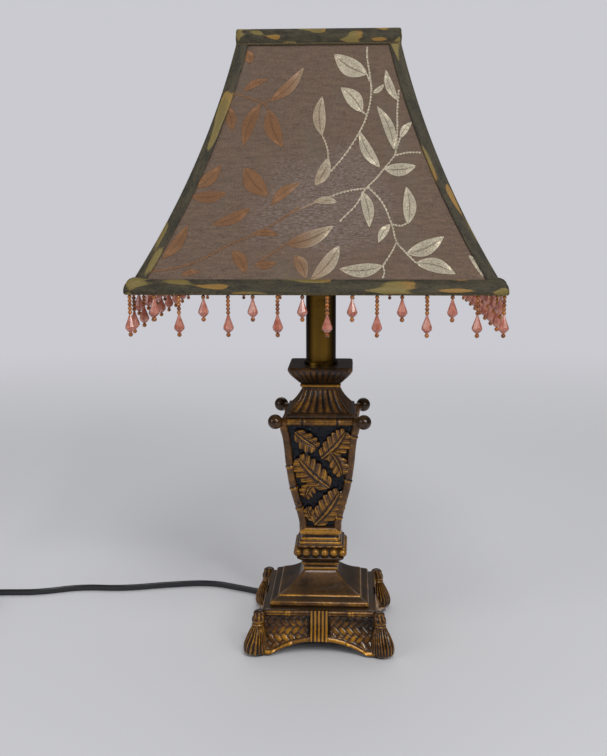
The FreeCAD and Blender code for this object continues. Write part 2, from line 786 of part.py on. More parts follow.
def socket_pieces():
    wall = size.socket_wall
    hub_inner = size.pipe_radius + size.thread_fit
    hub_height = size.pipe_into_socket + wall * 2
    cap_radius = size.socket_radius + wall
    revolved("socket_cap_turned", [
        (hub_inner, 0),
        (cap_radius - wall * 3, 0),
        (cap_radius, wall * 4),
        (cap_radius, size.socket_cap_height),
        (cap_radius - wall, size.socket_cap_height),
        (cap_radius - wall, wall * 4 + wall / 2),
        (cap_radius - wall * 3 - wall / 2, wall),
        (size.socket_hub_radius, wall),
        (size.socket_hub_radius, hub_height),
        (hub_inner, hub_height),
    ], socket_level)
    blank = nodes.pop("socket_cap_turned")
    screw_level = socket_level + size.pipe_into_socket / 2 + wall
    sideways = Rotation(Vector(0, 1, 0), 90)
    tap = cylinder("set_screw_tap", size.set_screw_radius + size.running_fit, size.socket_hub_radius,
                   x=size.pipe_radius, z=screw_level, turn=sideways)
    keep("socket_cap", cut("socket_cap", blank, tap))
    keep("cap_set_screw", cylinder("cap_set_screw", size.set_screw_radius,
                                   size.socket_hub_radius - size.pipe_radius,
                                   x=size.pipe_radius + size.thread_fit, z=screw_level, turn=sideways))

    towards_front = Rotation(Vector(1, 0, 0), 90)
    key_hole_radius = size.key_shaft_radius + size.running_fit
    shell = ring("socket_shell_tube", size.socket_radius, size.socket_radius - wall,
                 size.socket_shell_height, shell_level)
    shell_hole = cylinder("socket_shell_key_hole", key_hole_radius, size.socket_radius + size.overrun,
                          z=key_level, turn=towards_front)
    keep("socket_shell", cut("socket_shell", shell, shell_hole))
    liner_outer = size.socket_radius - wall - size.liner_gap
    liner = ring("socket_liner_tube", liner_outer, liner_outer - size.liner_wall,
                 size.socket_shell_height - wall * 2, shell_level)
    liner_hole = cylinder("socket_liner_key_hole", key_hole_radius, size.socket_radius + size.overrun,
                          z=key_level, turn=towards_front)
    keep("socket_liner", cut("socket_liner", liner, liner_hole))

    block = cylinder("socket_block_blank", size.block_radius, size.block_height, z=block_level)
    key_start = size.block_radius - size.key_shaft_depth
    cuts = [cylinder("block_key_bore", key_hole_radius, size.block_radius, y=-key_start, z=key_level,
                     turn=towards_front)]
    shank_hole = size.terminal_shank_radius + size.running_fit
    for side, name in ((1, "right"), (-1, "left")):
        cuts.append(cylinder(f"block_terminal_{name}", shank_hole, size.terminal_depth + size.bead_gap,
                             x=size.terminal_offset * side, z=block_level))
    keep("socket_block", cut("socket_block", block, group("socket_block_cuts", cuts)))

    screw_radius = size.bulb_cap_radius + size.running_fit
    keep("screw_shell", ring("screw_shell", screw_radius + size.screw_shell_wall, screw_radius,
                             size.screw_shell_height, contact_level))
    contact = cylinder("centre_contact", size.contact_radius, size.contact_height, z=contact_level)
    keep("centre_contact", contact)

    screws = []
    head_level = block_level - size.terminal_head_height
    for side, name in ((1, "right"), (-1, "left")):
        x = size.terminal_offset * side
        head = cylinder(f"terminal_head_{name}", size.terminal_head_radius, size.terminal_head_height,
                        x=x, z=head_level)
        shank = cylinder(f"terminal_shank_{name}", size.terminal_shank_radius, size.terminal_depth,
                         x=x, z=block_level)
        screws.append(fuse(f"terminal_{name}", head, shank))
    keep("terminal_screws", group("terminal_screws", screws))

    shaft_start = key_start + size.running_fit * 4
    wing_centre = size.socket_radius + size.key_reach
    wing_edge = wing_centre - size.key_wing_radius
    shaft = cylinder("key_shaft_rod", size.key_shaft_radius, wing_edge - shaft_start, y=-shaft_start,
                     z=key_level, turn=towards_front)
    keep("key_shaft", shaft)
    sideways_disc = cylinder("key_wing_disc", size.key_wing_radius, size.key_wing_thickness,
                             x=size.key_wing_thickness / -2, y=-wing_centre, z=key_level, turn=sideways)
    hub = cylinder("key_wing_hub", size.key_hub_radius, size.key_wing_radius, y=-wing_edge, z=key_level,
                   turn=towards_front)
    keep("key_wing", fuse("key_wing", sideways_disc, hub))


# Bulb

def bulb():
    tip_bore = size.bulb_tip_radius + size.running_fit
    keep("bulb_tip", cylinder("bulb_tip", size.bulb_tip_radius, size.bulb_tip_height, z=bulb_level))
    cap_inner = size.bulb_cap_radius - size.bulb_cap_wall
    revolved("bulb_screw_cap", [
        (tip_bore, size.bulb_cap_wall),
        (tip_bore, size.bulb_tip_height),
        (cap_inner, size.bulb_tip_height * 2),
        (cap_inner, size.bulb_cap_height),
        (size.bulb_cap_radius, size.bulb_cap_height),
        (size.bulb_cap_radius, size.bulb_tip_height * 2),
        (size.bulb_tip_radius * 2, size.bulb_cap_wall),
    ], bulb_level)

    # Glass: a neck arc that runs into the round globe, as a shell open into the cap
    low = float(bulb_level) + mm.bulb_cap_height + mm.bead_gap
    globe = Vector(0, 0, float(bulb_level) + mm.bulb_length - mm.bulb_radius)
    rise = globe.z - low
    neck, wide = mm.bulb_neck_radius, mm.bulb_radius
    bend = (neck ** 2 + rise ** 2 - wide ** 2) / (2 * (wide - neck))
    bend_centre = Vector(neck + bend, 0, low)
    towards = bend_centre - globe
    towards.normalize()

    def section(inset):
        touch = globe + towards * (wide - inset)
        start = Vector(neck - inset, 0, low)
        halfway = (start + touch) * 0.5 - bend_centre
        halfway.normalize()
        neck_arc = Part.Arc(start, bend_centre + halfway * (bend + inset), touch)
        crown = globe + Vector(0, 0, wide - inset)
        side = globe + Vector(wide - inset, 0, 0)
        dome = Part.Arc(touch, side, crown)
        edges = [neck_arc.toShape(), dome.toShape()]
        edges.append(Part.makeLine(crown, Vector(0, 0, low)))
        edges.append(Part.makeLine(Vector(0, 0, low), start))
        return Part.Face(Part.Wire(edges)).revolve(Vector(), Vector(0, 0, 1), 360)

    shaped("bulb_glass", section(0).cut(section(mm.bulb_glass_wall)))


# Harp, ferrules and stud

def harp():
    """One wire: straight legs, an outward shoulder arc, a long arc in and a flat top with a bored boss."""
    base = float(saddle_level)
    leg_x = mm.saddle_arm_half + mm.running_fit + mm.harp_wire_radius
    leg_low = base + mm.saddle_shoulder_height + mm.bead_gap
    leg_high = base + mm.saddle_shoulder_height + mm.ferrule_height + mm.ferrule_travel + mm.harp_wire_radius
    boss_level = float(flange_level) - mm.harp_boss_height
    wire_top = boss_level + mm.harp_boss_height / 2
    rise = wire_top - leg_high
    shoulder = mm.harp_shoulder_radius
    across = leg_x - mm.harp_flat_half + shoulder
    total = (across ** 2 + (rise + shoulder) ** 2) / (2 * (rise + shoulder))
    bow = total - shoulder
    turn = math.asin((rise - bow) / total)

    def point(centre, radius, angle):
        return centre + Vector(math.cos(angle), 0, math.sin(angle)) * radius

    shoulder_centre = Vector(leg_x + shoulder, 0, leg_high)
    bow_centre = Vector(mm.harp_flat_half, 0, wire_top - bow)
    first = Part.Arc(point(shoulder_centre, shoulder, math.pi),
                     point(shoulder_centre, shoulder, math.pi - turn / 2),
                     point(shoulder_centre, shoulder, math.pi - turn))
    second = Part.Arc(point(bow_centre, bow, -turn),
                      point(bow_centre, bow, (math.pi / 2 - turn) / 2),
                      point(bow_centre, bow, math.pi / 2))
    leg = Part.LineSegment(Vector(leg_x, 0, leg_low), Vector(leg_x, 0, leg_high))
    right = [leg.toShape(), first.toShape(), second.toShape()]
    left = []
    for edge in right:
        left.append(edge.mirror(Vector(), Vector(1, 0, 0)))
    flat = Part.LineSegment(Vector(mm.harp_flat_half, 0, wire_top), Vector(-mm.harp_flat_half, 0, wire_top))
    path = Part.Wire(Part.__sortEdges__(right + [flat.toShape()] + left))
    start = path.OrderedVertexes[0].Point
    profile = Part.Wire(Part.makeCircle(mm.harp_wire_radius, start, Vector(0, 0, 1)))
    wire = path.makePipeShell([profile], True, True)
    boss = Part.makeCylinder(mm.harp_boss_radius, mm.harp_boss_height, Vector(0, 0, boss_level))
    bore = Part.makeCylinder(mm.stud_stem_radius + mm.running_fit, mm.harp_boss_height + 2 * mm.overrun,
                             Vector(0, 0, boss_level - mm.overrun))
    shaped("harp", wire.fuse(boss).cut(bore))


def ferrules():
    centre = size.saddle_arm_half - size.saddle_thickness / 2 + size.harp_wire_radius + size.running_fit / 2
    level = saddle_level + size.saddle_shoulder_height + size.bead_gap
    for side, name in ((-1, "left_ferrule"), (1, "right_ferrule")):
        outer = size.ferrule_inner_radius + size.ferrule_wall
        blank = cylinder(f"{name}_blank", outer, size.ferrule_height, x=centre * side, z=level)
        bore = cylinder(f"{name}_bore", size.ferrule_inner_radius, size.ferrule_height + size.overrun * 2,
                        x=centre * side, z=level - size.overrun)
        keep(name, cut(name, blank, bore))


def harp_stud():
    low = size.harp_boss_height + size.rivet_height + size.bead_gap * 2
    flange_top = low + size.stud_flange_thickness
    stem = size.stud_stem_radius
    revolved("harp_stud", [
        (0, 0),
        (size.rivet_radius, 0),
        (size.rivet_radius, size.rivet_height),
        (stem, size.rivet_height),
        (stem, low),
        (size.stud_flange_radius, low),
        (size.stud_flange_radius, flange_top),
        (size.stud_radius, flange_top),
        (size.stud_radius, flange_top + size.stud_height),
        (0, flange_top + size.stud_height),
    ], flange_level - low)


# Shade

class Bell:
    """The concave side of the shade: one arc, whose centre lies outside, and its offsets towards the axis."""

    def __init__(self):
        self.bottom = float(shade_level)
        self.top = float(shade_top_level)
        self.band = self.top - mm.top_band_height
        low = Vector(mm.shade_bottom_half, 0, self.bottom)
        high = Vector(mm.shade_top_half, 0, self.band)
        chord = high - low
        middle = (low + high) * 0.5
        self.radius = ((chord.Length / 2) ** 2 + mm.shade_sag ** 2) / (2 * mm.shade_sag)
        outward = Vector(chord.z, 0, -chord.x)
        outward.normalize()
        self.centre = middle + outward * (self.radius - mm.shade_sag)

    def half(self, height, depth=0):
        """Half width at a height of the surface that lies a depth inside the outer one."""
        if height >= self.band:
            return mm.shade_top_half - depth
        radius = self.radius + depth
        return self.centre.x - math.sqrt(radius ** 2 - (height - self.centre.z) ** 2)

    def front_point(self, height, depth=0):
        return Vector(0, -self.half(height, depth), height)

    def arc(self, low, high, depth):
        """The edge of the front side between two heights, below the top band."""
        high = min(high, self.band - mm.running_fit / 100)
        points = [self.front_point(height, depth) for height in (low, (low + high) / 2, high)]
        return points, Part.Arc(*points).toShape()

    def section(self, low, high, outer, inner):
        """A strip of the front side as a face across it, between two heights and two depths."""
        first, outer_edge = self.arc(low, high, outer)
        second, inner_edge = self.arc(low, high, inner)
        edges = [outer_edge, inner_edge, Part.makeLine(second[0], first[0])]
        if high > self.band:
            outer_top = Vector(0, -self.half(high, outer), high)
            inner_top = Vector(0, -self.half(high, inner), high)
            edges += [
                Part.makeLine(first[2], outer_top),
                Part.makeLine(outer_top, inner_top),
                Part.makeLine(inner_top, second[2]),
            ]
        else:
            edges.append(Part.makeLine(first[2], second[2]))
        return Part.Face(Part.Wire(Part.__sortEdges__(edges)))


def wedge(back):
    """The quarter of the plan that faces the front, its apex set back from the axis by a gap."""
    reach = mm.shade_bottom_half + mm.overrun
    corners = [Vector(0, -back, 0), Vector(-reach, -reach - back, 0), Vector(reach, -reach - back, 0)]
    face = Part.Face(Part.makePolygon(corners + corners[:1]))
    return face.extrude(Vector(0, 0, float(shade_top_level) + mm.overrun))


def front_strip(face, back):
    """A face across the front side, run along the side and mitred at both corners."""
    reach = mm.shade_bottom_half + mm.overrun
    strip = face.copy()
    strip.translate(Vector(-reach, 0, 0))
    return strip.extrude(Vector(2 * reach, 0, 0)).common(wedge(back))


def shade_frame(bell):
    """Wire frame: fitter washer, four arms and top ring in one, corner ribs, and the bottom ring."""
    wire = mm.frame_wire_radius
    cover = mm.trim_thickness + mm.trim_gap + mm.fabric_thickness + mm.frame_gap
    top_height = bell.top - cover - wire
    top_half = bell.half(bell.top, cover) - wire
    fitter_low = float(fitter_level)
    washer = Part.makeCylinder(mm.fitter_radius, mm.fitter_thickness, Vector(0, 0, fitter_low))
    hole = Part.makeCylinder(mm.stud_radius + mm.running_fit, mm.fitter_thickness + 2 * mm.overrun,
                             Vector(0, 0, fitter_low - mm.overrun))
    arm_start = Vector(0, -(mm.fitter_radius - wire), fitter_low + wire)
    arm = rod(arm_start, Vector(0, -top_half, top_height), wire)
    corner = Part.makeSphere(wire, Vector(-top_half, -top_half, top_height))
    side = rod(Vector(-top_half, -top_half, top_height), Vector(top_half, -top_half, top_height), wire)
    parts = quarter_turns(arm) + quarter_turns(corner) + quarter_turns(side)
    shaped("shade_fitter", washer.fuse(parts).cut(hole))

    ring_height = bell.bottom + mm.bottom_ring_lift
    ring_half = bell.half(ring_height, cover + wire)
    side = rod(Vector(-ring_half, -ring_half, ring_height), Vector(ring_half, -ring_half, ring_height), wire)
    corner = Part.makeSphere(wire, Vector(-ring_half, -ring_half, ring_height))
    sides = quarter_turns(side)
    shaped("shade_bottom_ring", sides[0].fuse(sides[1:] + quarter_turns(corner)))

    low = ring_height + wire * 2
    bend = bell.band - mm.frame_gap
    points = []
    for height in (low, (low + bend) / 2, bend):
        half = bell.half(height, cover + wire)
        points.append(Vector(-half, -half, height))
    path = Part.Wire(Part.Arc(*points).toShape())
    direction = path.Edges[0].tangentAt(path.Edges[0].FirstParameter)
    rib = path.makePipeShell([Part.Wire(Part.makeCircle(wire, points[0], direction))], True, True)
    neck = rod(points[-1], Vector(-top_half, -top_half, top_height - wire - mm.frame_gap), wire)
    rib = rib.fuse([neck, Part.makeSphere(wire, points[-1])])
    shaped("shade_ribs", Part.makeCompound(quarter_turns(rib)))


def shade_cover(bell):
    outer = mm.trim_thickness + mm.trim_gap
    inner = outer + mm.fabric_thickness
    panel = front_strip(bell.section(bell.bottom, bell.top, outer, inner), mm.mitre_gap)
    for quarter, name in enumerate(("fabric_front", "fabric_right", "fabric_back", "fabric_left")):
        shaped(name, panel, 90 * quarter)

    lining_outer = inner + mm.frame_gap + mm.frame_wire_radius * 2 + mm.lining_gap
    lining_low = bell.bottom + mm.tape_height
    lining_high = bell.band - mm.frame_wire_radius
    lining = bell.section(lining_low, lining_high, lining_outer, lining_outer + mm.lining_thickness)
    shaped("shade_lining", Part.makeCompound(quarter_turns(front_strip(lining, mm.mitre_gap))))

    gap = mm.bead_gap
    low, face, back = bell.band + gap, -mm.shade_top_half, mm.trim_thickness - mm.shade_top_half
    corners = [Vector(0, y, z) for y, z in ((face, low), (face, bell.top), (back, bell.top), (back, low))]
    top_trim = Part.Face(Part.makePolygon(corners + corners[:1]))
    shaped("top_trim", Part.makeCompound(quarter_turns(front_strip(top_trim, mm.mitre_gap))))

    bottom_high = bell.bottom + mm.bottom_band_height
    bottom_trim = bell.section(bell.bottom, bottom_high, 0, mm.trim_thickness)
    shaped("bottom_trim", Part.makeCompound(quarter_turns(front_strip(bottom_trim, mm.mitre_gap))))

    strip = bell.section(bottom_high + gap, bell.band - gap, 0, mm.trim_thickness)
    along = front_strip(strip, 0)
    middle = wedge(mm.corner_trim_width)
    edges = along.cut(middle)
    left = min(edges.Solids, key=lambda solid: solid.CenterOfMass.x)
    right = max(edges.Solids, key=lambda solid: solid.CenterOfMass.x)
    right.rotate(Vector(), Vector(0, 0, 1), -90)
    shaped("corner_trims", Part.makeCompound(quarter_turns(left.fuse(right))))


def fringe(bell):
    depth = mm.trim_thickness + mm.trim_gap + mm.fabric_thickness + mm.running_fit
    low = bell.bottom + mm.tape_lift
    tape = bell.section(low, low + mm.tape_height, depth, depth + mm.tape_thickness)
    shaped("fringe_tape", Part.makeCompound(quarter_turns(front_strip(tape, mm.mitre_gap))))

    line = bell.half(low, depth + mm.tape_thickness / 2)
    count = int(mm.drops_per_side)
    corner_inset = mm.tape_thickness + mm.thread_radius
    first = -(line - corner_inset)
    pitch = -2 * first / count
    hole = Part.makeCylinder(mm.bead_hole_radius, 4 * mm.teardrop_length, Vector(0, 0, -2 * mm.teardrop_length))
    seed = Part.makeSphere(mm.seed_radius).cut(hole)
    end = Part.makeSphere(mm.end_bead_radius).cut(hole)
    levels = []
    for up, out in TEARDROP_SHARES:
        levels.append((Vector(0, 0, -mm.teardrop_length * up), mm.teardrop_radius * out))
    teardrop = round_stack(levels).cut(hole)

    threads, seeds, teardrops, ends = [], [], [], []
    for index in range(count):
        x = first + pitch * index
        seed_count = int(mm.long_seed_count if index % 2 == 0 else mm.short_seed_count)
        height = bell.bottom - mm.bead_gap - mm.seed_radius
        for number in range(seed_count):
            bead = seed.copy()
            bead.translate(Vector(x, -line, height - number * mm.seed_pitch))
            seeds.append(bead)
        drop_top = height - (seed_count - 1) * mm.seed_pitch - mm.seed_radius - mm.bead_gap
        drop = teardrop.copy()
        drop.translate(Vector(x, -line, drop_top))
        teardrops.append(drop)
        end_height = drop_top - mm.teardrop_length - mm.bead_gap - mm.end_bead_radius
        bead = end.copy()
        bead.translate(Vector(x, -line, end_height))
        ends.append(bead)
        thread_low = end_height - mm.end_bead_radius
        threads.append(Part.makeCylinder(mm.thread_radius, low - thread_low, Vector(x, -line, thread_low)))
    for name, parts in (("fringe_threads", threads), ("seed_beads", seeds), ("teardrop_beads", teardrops),
                        ("end_beads", ends)):
        solids = []
        for part in parts:
            solids += quarter_turns(part)
        shaped(name, Part.makeCompound(solids))


def finial():
    fit = size.running_fit
    keep("finial_insert", ring("finial_insert", size.finial_insert_radius, size.finial_bore_radius,
                               size.finial_insert_height, finial_level + size.bead_gap))
    bore = size.finial_insert_radius + fit
    outline = [(bore, 0), (size.finial_foot_radius, 0), (size.finial_foot_radius, size.finial_foot_height)]
    for up, out in FINIAL_SHARES:
        outline.append((size.finial_ball_radius * out, size.finial_height * up))
    outline.append((0, size.finial_height))
    outline.append((0, size.finial_insert_height + fit))
    outline.append((bore, size.finial_insert_height + fit))
    revolved("finial_knob", outline, finial_level + size.bead_gap)


# Mains lead

class Route:
    """A lead's path: straight runs joined by tangent arcs, each as large as its two runs allow."""

    arc_share = 0.45

    def __init__(self, points):
        self.points = points
        self.radii = []
        self.edges = []
        here = points[0]
        for before, corner, after in zip(points, points[1:], points[2:]):
            back = before - corner
            ahead = after - corner
            turn = math.pi - back.getAngle(ahead)
            reach = self.arc_share * min(back.Length, ahead.Length)
            self.radii.append(reach / math.tan(turn / 2))
            back.normalize()
            ahead.normalize()
            start = corner + back * reach
            end = corner + ahead * reach
            inward = back + ahead
            inward.normalize()
            radius = self.radii[-1]
            centre = corner + inward * (radius / math.cos(turn / 2))
            middle = centre - inward * radius
            self.edges.append(Part.LineSegment(here, start).toShape())
            self.edges.append(Part.Arc(start, middle, end).toShape())
            here = end
        self.edges.append(Part.LineSegment(here, points[-1]).toShape())

    def length(self):
        return sum(edge.Length for edge in self.edges)

    def tube(self, radius):
        path = Part.Wire(self.edges)
        start = self.points[0]
        profile = Part.Wire(Part.makeCircle(radius, start, self.points[1] - start))
        solid = path.makePipeShell([profile], True, False)
        expected = math.pi * radius ** 2 * self.length()
        if abs(solid.Volume / expected - 1) > 0.01:
            raise RuntimeError("a lead's tube doesn't have the volume of its route")
        return solid


class Coil:
    """The lead put away: it spirals in, climbs a layer, spirals out again and leaves towards the plug."""

    turns_in = 3
    turns_out = 3.5

    def __init__(self):
        self.centre = Vector(mm.coil_centre_x, mm.coil_centre_y, 0)
        self.inner = mm.coil_inner_radius
        self.outer = self.inner + self.turns_in * mm.coil_pitch
        self.floor = mm.cord_radius + mm.cord_floor_gap
        self.plug_line = self.outer + mm.cord_radius + mm.plug_half_width + mm.plug_side_gap
        self.plug_height = mm.plug_half_thickness + mm.cord_floor_gap
        self.turns = self.turns_in + 0.5 + self.turns_out + 0.5

    def spot(self, turn):
        """Centre of the lead after a number of turns, counted from where it comes in."""
        smooth = lambda share: share * share * (3 - 2 * share)
        upper = self.floor + mm.coil_layer_rise
        climb = turn - self.turns_in
        back = climb - 0.5
        last = (back - self.turns_out) * 2
        if climb <= 0:
            radius, height = self.outer - mm.coil_pitch * turn, self.floor
        elif back <= 0:
            radius = self.inner - mm.coil_pitch * min(climb, -back)
            height = self.floor + mm.coil_layer_rise * smooth(2 * climb)
        elif last <= 0:
            radius, height = self.inner + mm.coil_pitch * back, upper
        else:
            wide = self.inner + mm.coil_pitch * self.turns_out
            radius = wide + (self.plug_line - wide) * last
            height = upper + (self.plug_height - upper) * smooth(last)
        angle = math.pi / 2 + 2 * math.pi * turn
        return self.centre + Vector(radius * math.cos(angle), radius * math.sin(angle), height)

    def heading(self, turn):
        """Direction of the lead after a number of turns, level and square to the radius at both ends."""
        nearby = 0.01
        if turn <= 0 or turn >= self.turns:
            angle = math.pi / 2 + 2 * math.pi * turn
            return Vector(-math.sin(angle), math.cos(angle), 0)
        ahead = self.spot(turn + nearby) - self.spot(turn - nearby)
        ahead.normalize()
        return ahead

    def biarc(self, start, first, end, second):
        """Two arcs that leave the start and reach the end along the given directions."""
        across = end - start
        both = first + second
        apart = 2 * (1 - first.dot(second))
        along = across.dot(both)
        reach = (math.sqrt(along ** 2 + apart * across.dot(across)) - along) / apart
        joint = (start + first * reach + end - second * reach) * 0.5
        return [self.arc(start, first, joint), self.arc(end, -second, joint)]

    def arc(self, start, direction, end):
        chord = end - start
        reach = chord.Length
        half = direction.getAngle(chord)
        chord.normalize()
        bisector = direction + chord
        bisector.normalize()
        middle = start + bisector * (reach / (2 * math.cos(half / 2)))
        return Part.Arc(start, middle, end).toShape()

    def edges(self):
        steps = int(self.turns * 4)
        marks = [self.turns * step / steps for step in range(steps + 1)]
        run = 2 * mm.cord_radius
        start = self.spot(0)
        edges = [Part.makeLine(start - self.heading(0) * run, start)]
        for here, there in zip(marks, marks[1:]):
            edges += self.biarc(self.spot(here), self.heading(here), self.spot(there), self.heading(there))
        end = self.spot(self.turns)
        edges.append(Part.makeLine(end, end + self.heading(self.turns) * run))
        return edges

    def least_gap(self, edges):
        """Smallest space between two passes of the lead, measured on points along its edges."""
        per_edge = 10
        points = [point for edge in edges for point in edge.discretize(per_edge)]
        near = int(len(points) / self.turns / 2)
        least = math.inf
        for index, point in enumerate(points):
            for other in points[index + near:]:
                least = min(least, (other - point).Length)
        return least - 2 * mm.cord_radius


def lead_inside():
    """The lead from the bushing up the pipe, and its two wires to the socket's terminals."""
    lead_top = socket_level + size.pipe_into_socket + size.wire_radius
    keep("inner_lead", cylinder("inner_lead", size.cord_radius, lead_top - mouth_level, z=mouth_level))
    top = float(lead_top) + mm.bead_gap + mm.wire_radius
    head = float(block_level) - mm.terminal_head_height - mm.bead_gap - mm.wire_radius
    wires = []
    for side in (-1, 1):
        start = Vector(side * mm.wire_spread, 0, top)
        end = Vector(side * (mm.terminal_offset - mm.terminal_head_radius + mm.wire_radius), 0, head)
        ends = [Part.makeSphere(mm.wire_radius, start), Part.makeSphere(mm.wire_radius, end)]
        wires.append(rod(start, end, mm.wire_radius).fuse(ends))
    shaped("lead_wires", Part.makeCompound(wires))


def cord_bushing():
    """Flanged plastic sleeve in the lower end of the pipe, where the lead leaves it."""
    bore = size.cord_radius + size.bushing_fit
    sleeve = size.pipe_bore_radius - size.bushing_fit
    flange = size.bushing_flange_thickness
    revolved("cord_bushing", [
        (bore, 0),
        (size.bushing_flange_radius - flange / 2, 0),
        (size.bushing_flange_radius, flange / 2),
        (size.bushing_flange_radius, flange),
        (sleeve, flange),
        (sleeve, flange + size.bushing_sleeve_height),
        (bore, flange + size.bushing_sleeve_height),
    ], mouth_level)


def cord_points(coil):
    """Free stretch of the lead: down into the foot, out under the rear arch and off to the left."""
    lying = mm.cord_radius + mm.cord_floor_gap
    meeting = coil.spot(0) - coil.heading(0) * (2 * mm.cord_radius)
    return [
        Vector(0, 0, mouth_level.number),
        Vector(0, 0, 26.3),
        Vector(-1.1, 4.3, 15.6),
        Vector(-3.1, 12.3, 7.3),
        Vector(-5.7, 22.8, lying),
        Vector(-9, 35.9, lying),
        Vector(-16.2, 47.9, lying),
        Vector(-26.6, 57.3, lying),
        Vector(-50, 68, lying),
        Vector(-76, 79.4, lying),
        Vector(-103.5, 91.2, lying),
        Vector(-140, 85.6, lying),
        Vector(-183, 73.4, lying),
        Vector(-221, 75.7, lying),
        Vector(-256, 61.2, lying),
        Vector(-284, 60, lying),
        meeting - coil.heading(0) * 22,
        meeting,
    ]


def mains_lead():
    coil = Coil()
    route = Route(cord_points(coil))
    shaped("cord_stretch", route.tube(mm.cord_radius))
    edges = coil.edges()
    path = Part.Wire(edges)
    start = path.OrderedVertexes[0].Point
    profile = Part.Wire(Part.makeCircle(mm.cord_radius, start, coil.heading(0)))
    shaped("cord_coil", path.makePipeShell([profile], True, False))
    length = sum(edge.Length for edge in edges)
    print("lead radii:", [round(radius, 1) for radius in route.radii])
    free = route.length()
    print("free stretch", round(free), "coil", round(length), "in all", round(free + length))
    print("least gap of the coil to itself:", round(coil.least_gap(edges), 2))
    filled = nodes["cord_coil"].Shape.Volume / (math.pi * mm.cord_radius ** 2 * length)
    print("coil volume against its section times its length:", round(filled, 4))
    plug(coil)


def plug(coil):
    """Flat two-blade plug lying beside the coil."""
    end = coil.spot(coil.turns) + coil.heading(coil.turns) * (2 * mm.cord_radius + mm.bead_gap)
    neck = Part.makeCone(mm.plug_neck_radius, mm.plug_half_thickness - mm.plug_corner_radius / 3,
                         mm.plug_neck_length, end, Vector(1, 0, 0))
    body_length = mm.plug_length - mm.plug_neck_length
    corner = end + Vector(mm.plug_neck_length, -mm.plug_half_width, -mm.plug_half_thickness)
    block = Part.makeBox(body_length, 2 * mm.plug_half_width, 2 * mm.plug_half_thickness, corner)
    along = [edge for edge in block.Edges if abs((edge.lastVertex().Point - edge.firstVertex().Point).x) > 0]
    block = block.makeFillet(mm.plug_corner_radius, along)
    shaped("plug_body", block.fuse(neck))
    blades = []
    for side in (-1, 1):
        across = side * mm.blade_spacing / 2 - mm.blade_thickness / 2
        spot = end + Vector(mm.plug_length, across, -mm.blade_width / 2)
        blade = Part.makeBox(mm.blade_length, mm.blade_thickness, mm.blade_width, spot)
        hole_spot = spot + Vector(mm.blade_length * 3 / 4, -mm.overrun, mm.blade_width / 2)
        hole = Part.makeCylinder(mm.blade_width / 4, 2 * mm.overrun, hole_spot, Vector(0, 1, 0))
        blades.append(blade.cut(hole))
    shaped("plug_blades", Part.makeCompound(blades))


def check_and_export():
    """Stops on any failed feature or broken shape, then writes one file for each sub-part."""
    doc.recompute()
    for item in doc.Objects:
        bad = [state for state in item.State if state in ("Invalid", "Error")]
        if bad:
            raise RuntimeError(f"{item.Name} is {bad}")
    os.makedirs("parts", exist_ok=True)
    for name, item in nodes.items():
        shape = item.Shape
        if shape.isNull() or not shape.isValid() or not shape.Solids:
            raise RuntimeError(f"{name} has no valid solid")
    for name, item in nodes.items():
        item.Shape.exportStep(os.path.join("parts", f"{name}.step"))
    print(len(nodes), "sub-parts written")


foot_casting()
beaded_collar()
column_casting()
fluted_roof()
fluted_cup()
felt_pads()
pipe_and_fasteners()
neck_tube()
harp_saddle()
socket_pieces()
bulb()
harp()
ferrules()
harp_stud()
shade_side = Bell()
shade_frame(shade_side)
shade_cover(shade_side)
fringe(shade_side)
finial()
lead_inside()
cord_bushing()
mains_lead()
check_and_export()
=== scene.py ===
"""Accent lamp with a square bell shade: carving, cloth, beads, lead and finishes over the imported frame."""
import math

import bmesh
import bpy
from bpy.props import FloatProperty, FloatVectorProperty, IntProperty, PointerProperty
from mathutils import Matrix, Vector


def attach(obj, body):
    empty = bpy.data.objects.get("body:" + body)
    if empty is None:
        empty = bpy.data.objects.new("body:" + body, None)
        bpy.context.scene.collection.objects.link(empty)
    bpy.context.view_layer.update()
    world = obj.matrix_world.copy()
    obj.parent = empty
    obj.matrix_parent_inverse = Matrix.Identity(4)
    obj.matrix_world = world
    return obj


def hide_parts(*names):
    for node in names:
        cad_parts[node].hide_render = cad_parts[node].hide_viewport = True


bl_info = {
    "name": "Accent lamp with bell shade",
    "version": (1, 0, 0),
    "blender": (4, 5, 0),
    "location": "View3D > Sidebar > Lamp",
    "description": "Carved stand, bell shade, beaded fringe and mains lead of an accent lamp",
    "category": "Add Mesh",
}

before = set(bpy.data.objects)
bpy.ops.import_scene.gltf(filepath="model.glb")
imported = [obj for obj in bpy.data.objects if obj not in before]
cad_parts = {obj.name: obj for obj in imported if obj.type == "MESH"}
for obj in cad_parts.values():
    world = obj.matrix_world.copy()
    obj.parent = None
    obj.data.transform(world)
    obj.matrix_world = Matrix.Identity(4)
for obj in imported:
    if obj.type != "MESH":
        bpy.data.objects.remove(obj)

# Lengths in the tables below are millimetres; meshes are laid in metres
MM = 0.001

# Levels above the table: the foot, then the shade's lower edge, top band and upper edge
FOOT_LOW, FOOT_TOP = 1.2, 34.4
SHADE_LEVEL, BAND_LEVEL, SHADE_TOP = 289.4, 458.05, 468.65

# How far pieces lie inside an outline: the column's ground, the shade's cloth and its lining
GROUND_DEPTH, CLOTH_DEPTH, LINING_DEPTH = 4.2, 0.85, 5

# Shade, in metres: width of its lower edge
SHADE_WIDTH = 0.254

# Lead: level of its centre on the table
LEAD_LEVEL = 2.85

ALL_SIDES = (0, 1, 2, 3)

